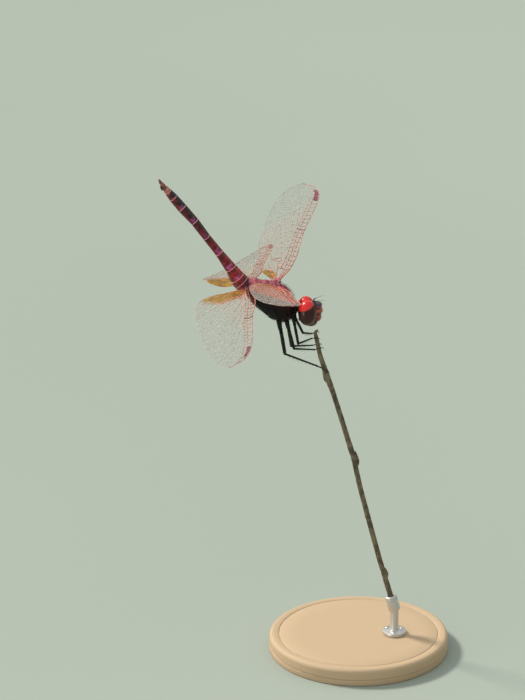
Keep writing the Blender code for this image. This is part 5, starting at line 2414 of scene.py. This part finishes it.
# ---- twig and stand ----
@dataclass
class Twig:
    """The cut twig: barked stem, knots, buds and a broken tip."""

    sides: int = 40
    rings: int = 520
    buds: tuple[Triple, ...] = ((0.118, 35.0, 1.8), (0.53, 10.0, 3.0), (0.828, 160.0, 2.0),
                                (0.33, 120.0, 1.6))
    ridge: float = 0.022
    hook: float = 0.3

    def stem(self) -> tuple[Array, Array]:
        """The stem's smooth middle line and radius, read from the solid.

        Returns:
            The middle line and the radius at each of its points.
        """
        low, _ = node_box("twig")
        middles, radii = middle_line("twig", vec(0, 0, low[2] - 40), 70)
        usual = np.array([np.median(radii[max(0, i - 3):i + 4]) for i in range(len(radii))])
        thick = radii > usual * 1.16
        usual = np.minimum(usual, radii)
        good = np.flatnonzero(~thick)
        every = np.arange(len(radii))
        middles = np.stack([np.interp(every, good, middles[good, axis]) for axis in range(3)], 1)
        start = middles[0] - (middles[1] - middles[0])
        end = middles[-1] + (middles[-1] - middles[-2]) * 0.4 + vec(self.hook, 0, 0)
        path = np.vstack([start, middles, end])
        widths = np.concatenate([[usual[0]], usual, [usual[-1] * 0.8]])
        share = np.linspace(0, 1, self.rings)
        return spline(path, share), spline(widths[:, None], share)[:, 0]

    def build(self) -> Object:
        """Build the twig.

        Returns:
            The twig.
        """
        path, radii = self.stem()
        first, second = side_frames(path)
        turn = circle(self.sides)
        share = np.linspace(0, 1, self.rings)
        knots = sum(swell(share, spot, 0.006) for spot, _, _ in self.buds)
        scars = sum(swell(share, spot, 0.0016) for spot in (0.07, 0.24, 0.41, 0.62, 0.72, 0.9))
        widths = (radii * (1 + 0.1 * knots) + 0.03 * scars)[:, None] * np.ones(self.sides)
        along = np.broadcast_arrays(np.cos(turn) * 1.3, np.sin(turn) * 1.3, share[:, None] * 11)
        along = np.stack(along, -1)
        bark = ripple(along, 0.62, 21) + 0.6 * ripple(along * (1, 1, 3.2), 0.5, 22)
        widths += self.ridge * bark * np.clip(radii / 0.4, 0.3, 1)[:, None]
        rough_end = step(share, 0.992, 1.0)[:, None] * 0.9 * np.sin(turn * 2.5 + 0.6)
        points = path[:, None] + rings(first, second, self.sides) * widths[..., None]
        points += rough_end[..., None] * (path[-1] - path[-8])
        draft = Draft()
        draft.sheet(points, unrolled(self.rings, self.sides))
        for spot, angle, length in self.buds:
            self.add_bud(draft, path, radii, spot, angle, length)
        return draft.place("twig_bark", BARK, "twig_bark", "twig")

    def add_bud(self, draft: Draft, path: Array, radii: Array, spot: float, angle: float,
                length: float) -> None:
        """A pointed bud of overlapping scales, seated on its leaf scar.

        Args:
            draft: The twig's draft.
            path: Its middle line.
            radii: Its radii.
            spot: Share of its length.
            angle: Degrees round it.
            length: The bud's length.
        """
        index = int(spot * (len(path) - 1))
        up = unit(path[index + 4] - path[index - 4])
        turn = math.radians(angle)
        level = vec(math.cos(turn), math.sin(turn), 0)
        out = unit(level - up * (up @ level))
        seat = path[index] + out * radii[index] * 0.8
        draft.ball(seat - up * length * 0.3, (0.26, 0.26, 0.2), np.stack([out, np.cross(up, out), up]), 20)
        for share, size, tilt in ((-0.2, 0.3, 0.3), (-0.05, 0.26, 0.22), (0.1, 0.2, 0.14),
                                  (0.24, 0.13, 0.08)):
            axis = unit(up + out * tilt)
            rows = np.stack([unit(out - axis * (out @ axis)), np.cross(axis, out), axis])
            middle = seat + up * share * length + out * 0.1
            draft.ball(middle, (size * 0.8, size, length * 0.26), rows, 22)


@dataclass
class Stand:
    """A turned wooden disc, a steel rod and the cup that holds the twig."""

    radius: float = 15.0
    height: float = 3.0
    edge: float = 0.7
    rod: float = 0.7
    flange: float = 2.0
    flange_height: float = 0.6
    cup: float = 1.0
    cup_bore: float = 0.56
    cup_depth: float = 2.0
    cup_floor: float = 0.7
    lean: float = 14.63

    def turned(self, draft: Draft, seat: Array, axis: Array, profile: Sequence[Pair],
               sides: int) -> None:
        """Add a turned form.

        Args:
            draft: The draft that it is added to.
            seat: The point that heights count from.
            axis: The axis that it is turned round.
            profile: Corners as (radius, height), from the foot to the top.
            sides: How many sides it has.
        """
        across = unit(np.cross(axis, ACROSS))
        rows = np.array(profile)
        ring = rings(across, np.cross(axis, across), sides)
        points = seat + rows[:, :1, None] * ring + rows[:, 1:, None] * axis
        draft.sheet(points, unrolled(len(rows), sides))

    def build(self) -> None:
        """Build the disc and the metal parts."""
        self.build_disc()
        self.build_rod()

    def build_disc(self) -> None:
        """The disc: rounded upper edge, a cut bead and a hollow foot."""
        low, high = node_box("stand_base")
        seat = vec((low[0] + high[0]) / 2, 0, low[2])
        r, h = self.radius, self.height
        soft = self.edge
        edge = [(r - soft + soft * math.sin(a), h - soft + soft * math.cos(a))
                for a in np.linspace(math.pi / 2, 0, 12)]
        cut = ((-0.16, 0), (-0.1, 0.03), (0, 0.14), (0.1, 0.03), (0.16, 0))
        groove = [(r - 1.66 - gap, h - drop) for gap, drop in cut]
        foot = [(r - 1.4, 0.22), (r - 1.2, 0.0), (r - 0.3, 0.0), (r - 0.08, 0.08), (r, 0.3)]
        side = [(r, 0.95), (r - 0.08, 1.0), (r - 0.14, 1.08), (r - 0.08, 1.16), (r, 1.2)]
        draft = Draft()
        self.turned(draft, seat, UPRIGHT, [(0.05, 0.22)] + foot + side + edge + groove
                    + [(r * 0.7, h), (r * 0.4, h), (0.05, h)], 160)
        draft.place("stand_disc", WOOD, "stand_wood", "stand_base", crease=35.0)

    def build_rod(self) -> None:
        """The flange with three screws, the rod, the cup and its side screw."""
        low, high = node_box("stand_rod")
        foot = vec((low[0] + high[0]) / 2, 0, low[2])
        f, t = self.flange, self.flange_height
        draft = Draft()
        r, top = self.rod, high[2] - foot[2] - 2.6
        self.turned(draft, foot, UPRIGHT, [
            (0.05, 0.0), (f - 0.05, 0.0), (f, 0.05), (f, t - 0.14), (f - 0.04, t - 0.05), (f - 0.14, t),
            (r + 0.28, t), (r + 0.08, t + 0.08), (r, t + 0.3), (r, top), (0.05, top + 0.05)], 64)
        for angle in (30, 150, 270):
            turn = math.radians(angle)
            spot = foot + vec(math.cos(turn) * 1.42, math.sin(turn) * 1.42, t - 0.02)
            self.turned(draft, spot, UPRIGHT, [(0.02, 0.0), (0.3, 0.0), (0.3, 0.07), (0.22, 0.15),
                                               (0.12, 0.17), (0.11, 0.08), (0.02, 0.08)], 28)
        lean = math.radians(self.lean)
        up = vec(-math.sin(lean), 0, math.cos(lean))
        seat = end_middle("twig", vec(0, 0, -40)) - up * 0.12
        c, b, d, low_end = self.cup, self.cup_bore, self.cup_depth, -self.cup_floor
        self.turned(draft, seat, up, [
            (0.05, low_end), (c - 0.2, low_end), (c - 0.06, low_end + 0.06), (c, low_end + 0.2), (c, 0.9),
            (c - 0.06, 0.96), (c - 0.06, 1.06), (c, 1.12), (c, d - 0.12), (c - 0.04, d - 0.04),
            (c - 0.12, d), (b + 0.08, d), (b, d - 0.08), (b, 0.0), (0.05, 0.0)], 72)
        screw = seat + up * 1.5 - ACROSS * (c - 0.08)
        self.turned(draft, screw, -ACROSS, [(0.02, 0.0), (0.26, 0.0), (0.26, 0.26), (0.2, 0.34),
                                            (0.09, 0.34), (0.08, 0.22), (0.02, 0.22)], 28)
        draft.place("stand_metal", STEEL, "stand_steel", "stand_rod", crease=35.0)


# ---- hairs ----
@dataclass
class Coat:
    """Fine hairs that grow from a finished piece, each a thin bent cone."""

    name: str
    skin: Object
    count: int
    length: Pair
    radius: float
    slot: str
    finish: "Finish"
    lean: Triple = (0.0, 0.0, 0.3)
    grows: Callable[[Array, Array], Array] = lambda spots, normals: np.ones(len(spots))
    seed: int = 1

    def roots(self) -> tuple[Array, Array, Array]:
        """Random roots on the skin: their places, the skin's normals and plane coordinates.

        Returns:
            The three, one root a row.
        """
        mesh = self.skin.data
        dice = np.random.default_rng(self.seed)
        size = len(mesh.polygons)
        areas, centres, normals = np.zeros(size), np.zeros(size * 3), np.zeros(size * 3)
        mesh.polygons.foreach_get("area", areas)
        mesh.polygons.foreach_get("center", centres)
        mesh.polygons.foreach_get("normal", normals)
        centres, normals = centres.reshape(-1, 3) / MM, normals.reshape(-1, 3)
        weight = areas * np.clip(self.grows(centres, normals), 0, 1)
        chosen = dice.choice(size, self.count, p=weight / weight.sum())
        planes = mesh.uv_layers[PLANE_MAP].data
        starts = [mesh.polygons[int(index)].loop_start for index in chosen]
        plane = np.array([tuple(planes[start].uv) for start in starts])
        reach = np.sqrt(areas[chosen])[:, None] / MM * 0.3
        return centres[chosen] + dice.uniform(-1, 1, (self.count, 3)) * reach, normals[chosen], plane

    def build(self) -> None:
        """Build and place the coat."""
        draft = Draft()
        dice = random.Random(self.seed)
        shares = np.array([0.0, 0.4, 0.75, 1.0])
        faces = [[r * 3 + c, r * 3 + (c + 1) % 3, (r + 1) * 3 + (c + 1) % 3, (r + 1) * 3 + c]
                 for r in range(3) for c in range(3)] + [[0, 1, 2], [9, 10, 11]]
        patch = np.array([[shares[r] - 0.5, c / 3 - 0.33] for r in range(4) for c in range(3)]) * ROOT_PATCH
        for root, normal, plane in zip(*self.roots()):
            way = unit(normal + vec(*self.lean) + vec(*(dice.gauss(0, 0.18) for _ in range(3))))
            length = dice.uniform(*self.length)
            side = unit(np.cross(way, vec(0.3, 1, 0.2)))
            bend = vec(*self.lean) * length * 0.25
            path = root - normal * 0.03 + np.outer(shares, way) * length + np.outer(shares ** 2, bend)
            radii = self.radius * vec(1.0, 0.8, 0.5, 0.1)
            points = path[:, None] + rings(side, np.cross(way, side), 3) * radii[:, None, None]
            draft.add(points, faces, np.clip(plane, 0.004, 0.996) + patch)
        draft.place(self.name, self.finish, self.slot, map_name=ROOT_MAP)


# ---- the finishes in use ----
LEADING_VEIN = VeinFinish("leading_vein", 0.5, root=(214, 108, 74), middle=(216, 150, 132),
                          tip=(206, 164, 150))
REAR_VEIN = VeinFinish("rear_vein", 0.5, root=(226, 112, 62), middle=(196, 180, 162), tip=(186, 190, 178))
CROSS_VEIN = VeinFinish("cross_vein", 0.5, root=(74, 38, 30), middle=(112, 74, 62), tip=(180, 136, 122))
CELL_VEIN = VeinFinish("cell_vein", 0.5, root=(186, 140, 78), middle=(188, 186, 172), tip=(180, 188, 176))
STIGMA = ShellFinish("stigma", 0.35, light=(132, 78, 92), dark=(96, 44, 58), patch_scale=3.0, grain=9.0,
                     depth=0.01, coat=0.3)
CHEEK = ShellFinish("cheek", 0.35, light=(122, 42, 28), dark=(66, 28, 18), patch_scale=1.6, grain=9.0,
                    depth=0.01, coat=0.2)
ROOT_PLATE = ShellFinish("wing_root", 0.32, light=(190, 78, 46), dark=(70, 26, 30), wax=(196, 136, 186),
                         wax_amount=0.4, patch_scale=1.6, coat=0.3)
THORAX_SHELL = ThoraxFinish("thorax_shell", 0.34, light=(58, 20, 18), dark=(24, 12, 12),
                            top=(118, 34, 44), below=(20, 11, 12), wax=(214, 132, 146), wax_amount=0.45,
                            patch_scale=0.9, grain=6.0, depth=0.03, coat=0.03, shine=0.12)
LEG_SHELL = ShellFinish("leg_shell", 0.4, light=(34, 36, 24), dark=(13, 15, 11), patch_scale=1.5, grain=9.0,
                        depth=0.008, coat=0.02, shine=0.14)
NECK = ShellFinish("neck_skin", 0.55, light=(110, 74, 58), dark=(60, 38, 34), patch_scale=2.5)
JOINT_SKIN = ShellFinish("joint_skin", 0.45, light=(240, 172, 172), dark=(212, 124, 132), patch_scale=3.0)
CLASPER = ShellFinish("clasper", 0.4, light=(150, 84, 72), dark=(58, 32, 34), patch_scale=1.3, grain=8.0,
                      depth=0.01, coat=0.2)
ABDOMEN_SHELL = AbdomenFinish(
    "abdomen_shell", 0.33, wax=(196, 96, 160), wax_amount=1.0, patch_scale=1.4, grain=7.0, coat=0.2,
    bands=((0.0, (60, 24, 18)), (0.1, (150, 34, 26)), (0.24, (176, 26, 38)), (0.4, (148, 20, 34)),
           (0.55, (116, 20, 32)), (0.75, (128, 32, 34)), (0.88, (140, 50, 42)), (0.92, (232, 156, 134)),
           (1.0, (226, 150, 130))),
    # where the violet spots, part wax and part painted highlight, show along the abdomen
    waxed=((0.0, 110), (0.14, 180), (0.26, 245), (0.36, 235), (0.5, 140),
           (0.7, 210), (0.82, 90), (0.88, 20), (1.0, 0)),
    blackened=((0.0, 235), (0.1, 200), (0.2, 110), (0.3, 60), (0.45, 130),
               (0.56, 200), (0.7, 252), (0.89, 252), (0.92, 50), (1.0, 90)),
    amber=((0.0, 40), (0.1, 255), (0.22, 200), (0.32, 30), (0.62, 30),
           (0.78, 230), (1.0, 180)))
FOREHEAD = ForeheadFinish("forehead", 0.26, light=(54, 30, 48), dark=(26, 16, 26), wax=(120, 96, 130),
                          wax_amount=0.1, patch_scale=1.5, grain=10.0, depth=0.006, coat=0.9)
FACE = ShellFinish("face_plate", 0.3, light=(228, 60, 44), dark=(156, 40, 32), patch_scale=1.6, grain=9.0,
                   depth=0.01, coat=0.5)
LIP = ShellFinish("upper_lip", 0.3, light=(160, 66, 34), dark=(86, 46, 24), patch_scale=1.0, grain=9.0,
                  depth=0.01, coat=0.3)
LOWER_LIP = ShellFinish("lower_lip", 0.4, light=(120, 88, 56), dark=(64, 44, 34), patch_scale=1.3, grain=8.0)
BACK_PLATE = ShellFinish("head_back", 0.4, light=(60, 44, 34), dark=(20, 15, 15), patch_scale=1.4)
SIMPLE_EYE = ShellFinish("simple_eye", 0.12, light=(200, 150, 120), dark=(120, 70, 60), depth=0.001,
                         coat=1.0)
HAIR = ShellFinish("hair", 0.5, light=(70, 54, 50), dark=(34, 26, 28), depth=0.001)
FACE_HAIR = ShellFinish("face_hair", 0.5, light=(90, 50, 40), dark=(46, 26, 24), depth=0.001)
BARK = BarkFinish("bark", 0.85)
WOOD = WoodFinish("stand_wood", 0.42)
STEEL = SteelFinish("stand_steel", 0.3)
FLOOR = FloorFinish("floor", 0.95)


# ---- studio ----
PANEL_DISTANCE = 0.8


class Lamp(Enum):
    """The lamps, with their type."""

    KEY = "SUN"
    ACCENT = "AREA"


@dataclass
class Studio:
    """Floor, soft lights and the camera."""

    turn: float = 3.7                 # of the camera, degrees from the model's right side to its front
    rise: float = 22.0
    distance: float = 900.0
    lens: float = 282.35
    aim: Pair = (-2.164, -10.885)   # of the hinge line, across and up in the view
    backdrop: Colour = (184, 194, 181)
    sky: float = 0.9

    def build(self) -> None:
        """Set up the whole studio."""
        self.build_floor()
        self.build_world()
        self.add_lamp(Lamp.KEY, (-0.67, 0.29, 0.68), 3.3, 11.0, (1.0, 0.95, 0.88))
        self.add_lamp(Lamp.ACCENT, (-0.7, -0.7, 0.05), 1.2, 0.22, (1.0, 0.94, 0.96))
        self.build_camera()
        bpy.context.scene.view_settings.view_transform = "Standard"

    def build_floor(self) -> None:
        """A wide plain floor under the stand."""
        draft = Draft()
        spots = np.linspace(-4000, 4000, 9)
        grid = np.stack([*np.meshgrid(spots, spots, indexing="ij"), np.zeros((9, 9))], -1)
        grid[..., 2] = CAD_BOX[0][2] / MM
        draft.sheet(grid, unrolled(9, 8), closed=False)
        draft.build("floor", FLOOR)

    def build_world(self) -> None:
        """A surround that brightens overhead, and that the camera sees in the floor's tone."""
        world = bpy.data.worlds.new("surround")
        world.use_nodes = True
        graph = Graph(world.node_tree)
        shown = world.node_tree.nodes["Background"]
        graph.feed(shown.inputs["Color"], self.backdrop)
        height = graph.split(graph.node("TexCoord")["Generated"])[2]
        sky = graph.ramp(height, ((0.0, (150, 158, 148)), (0.15, (176, 184, 176)), (0.6, (236, 240, 240))))
        lighting = graph.node("Background", {"Color": sky, "Strength": self.sky})[0]
        direct = graph.node("LightPath")["Is Camera Ray"]
        both = graph.node("MixShader", {0: direct, 1: lighting, 2: graph.gives(shown)[0]})[0]
        graph.feed(world.node_tree.nodes["World Output"].inputs[0], both)
        bpy.context.scene.world = world

    def add_lamp(self, kind: Lamp, way: Triple, power: float, spread: float, colour: Triple) -> None:
        """Add a soft lamp that faces the model.

        Args:
            kind: A distant sun, or a square panel.
            way: Direction from the model to the lamp.
            power: Watts per square metre of a sun, watts of a panel.
            spread: Apparent size of a sun in degrees, side of a panel in metres.
            colour: Its colour.
        """
        data = bpy.data.lights.new(kind.name.lower(), kind.value)
        data.energy = power
        data.color = colour
        lamp = bpy.data.objects.new(kind.name.lower(), data)
        lamp.rotation_euler = Vector(way).to_track_quat("Z", "Y").to_euler()
        if kind is Lamp.KEY:
            data.angle = math.radians(spread)
        else:
            data.size = spread
            middle = (Vector(CAD_BOX[0]) + Vector(CAD_BOX[1])) / 2
            lamp.location = middle + Vector(way).normalized() * PANEL_DISTANCE
        bpy.context.scene.collection.objects.link(lamp)

    def build_camera(self) -> None:
        """The camera, looking at the model's right side from a little above."""
        turn, rise = math.radians(self.turn), math.radians(self.rise)
        right = Vector((math.cos(turn), math.sin(turn), 0))
        back = Vector((math.sin(turn) * math.cos(rise), -math.cos(turn) * math.cos(rise), math.sin(rise)))
        up = back.cross(right)
        _, high = node_box("thorax")
        aim = Vector((high[0] - 3.0, 0, high[2] - 0.57)) + right * self.aim[0] + up * self.aim[1]
        data = bpy.data.cameras.new("camera")
        data.lens = self.lens
        data.clip_start = 0.01
        data.clip_end = 20.0
        camera = bpy.data.objects.new("camera", data)
        camera.location = (aim + back * self.distance) * MM
        camera.rotation_euler = back.to_track_quat("Z", "Y").to_euler()
        bpy.context.scene.collection.objects.link(camera)
        bpy.context.scene.camera = camera


def build_coats(thorax: Object, face: dict[str, Object]) -> None:
    """Grow the hairs of the thorax and the face.

    Args:
        thorax: The finished thorax.
        face: The finished face plates by name.
    """
    _, high = node_box("thorax")
    Coat("thorax_hair", thorax, 1700, (0.3, 0.6), 0.008, "thorax_cuticle", HAIR, (0.35, 0.0, 0.25),
         lambda spots, normals: step(spots[:, 0] - high[0], -4.6, -1.4) + 0.12, 5).build()
    for name, count, length in (("frons", 160, (0.12, 0.24)), ("clypeus", 150, (0.14, 0.28)),
                                ("labrum", 220, (0.12, 0.28)), ("labium", 110, (0.12, 0.24))):
        Coat(name + "_hair", face[name], count, length, 0.006, "face_plate", FACE_HAIR, (0.3, 0.0, 0.05),
             lambda spots, normals: step(normals[:, 0], 0.1, 0.5), 9).build()


def main() -> None:
    """Build every part in order, then the studio."""
    logging.basicConfig(level=logging.INFO, format="%(name)s: %(message)s")
    thorax = Thorax().build()
    Abdomen().build()
    face = Head().build()
    for wing in (Wing(WingKind.FORE, 1, 11.2, 17.6, 4.5, 2.6, 1.04, 0.0, 0.0, seed=3),
                 Wing(WingKind.FORE, -1, 10.15, 14.4, -17.4, 12.9, 0.0, 0.0, 0.0, seed=4),
                 Wing(WingKind.HIND, 1, 5.2, -5.1, 0.0, 30.0, 0.46, -0.2, 1.6, seed=5),
                 Wing(WingKind.HIND, -1, 3.4, -4.8, 2.2, 17.7, 0.43, 0.4, 0.5, seed=6)):
        wing.build()
    for row, femur in (("fore", 0.24), ("mid", 0.26), ("hind", 0.295)):
        for side in ("left", "right"):
            Leg("%s_%s" % (row, side), femur=femur, foot=0.08 if row == "fore" else 0.085).build()
    Twig().build()
    Stand().build()
    build_coats(thorax, face)
    Studio().build()


if __name__ == "__main__":
    main()
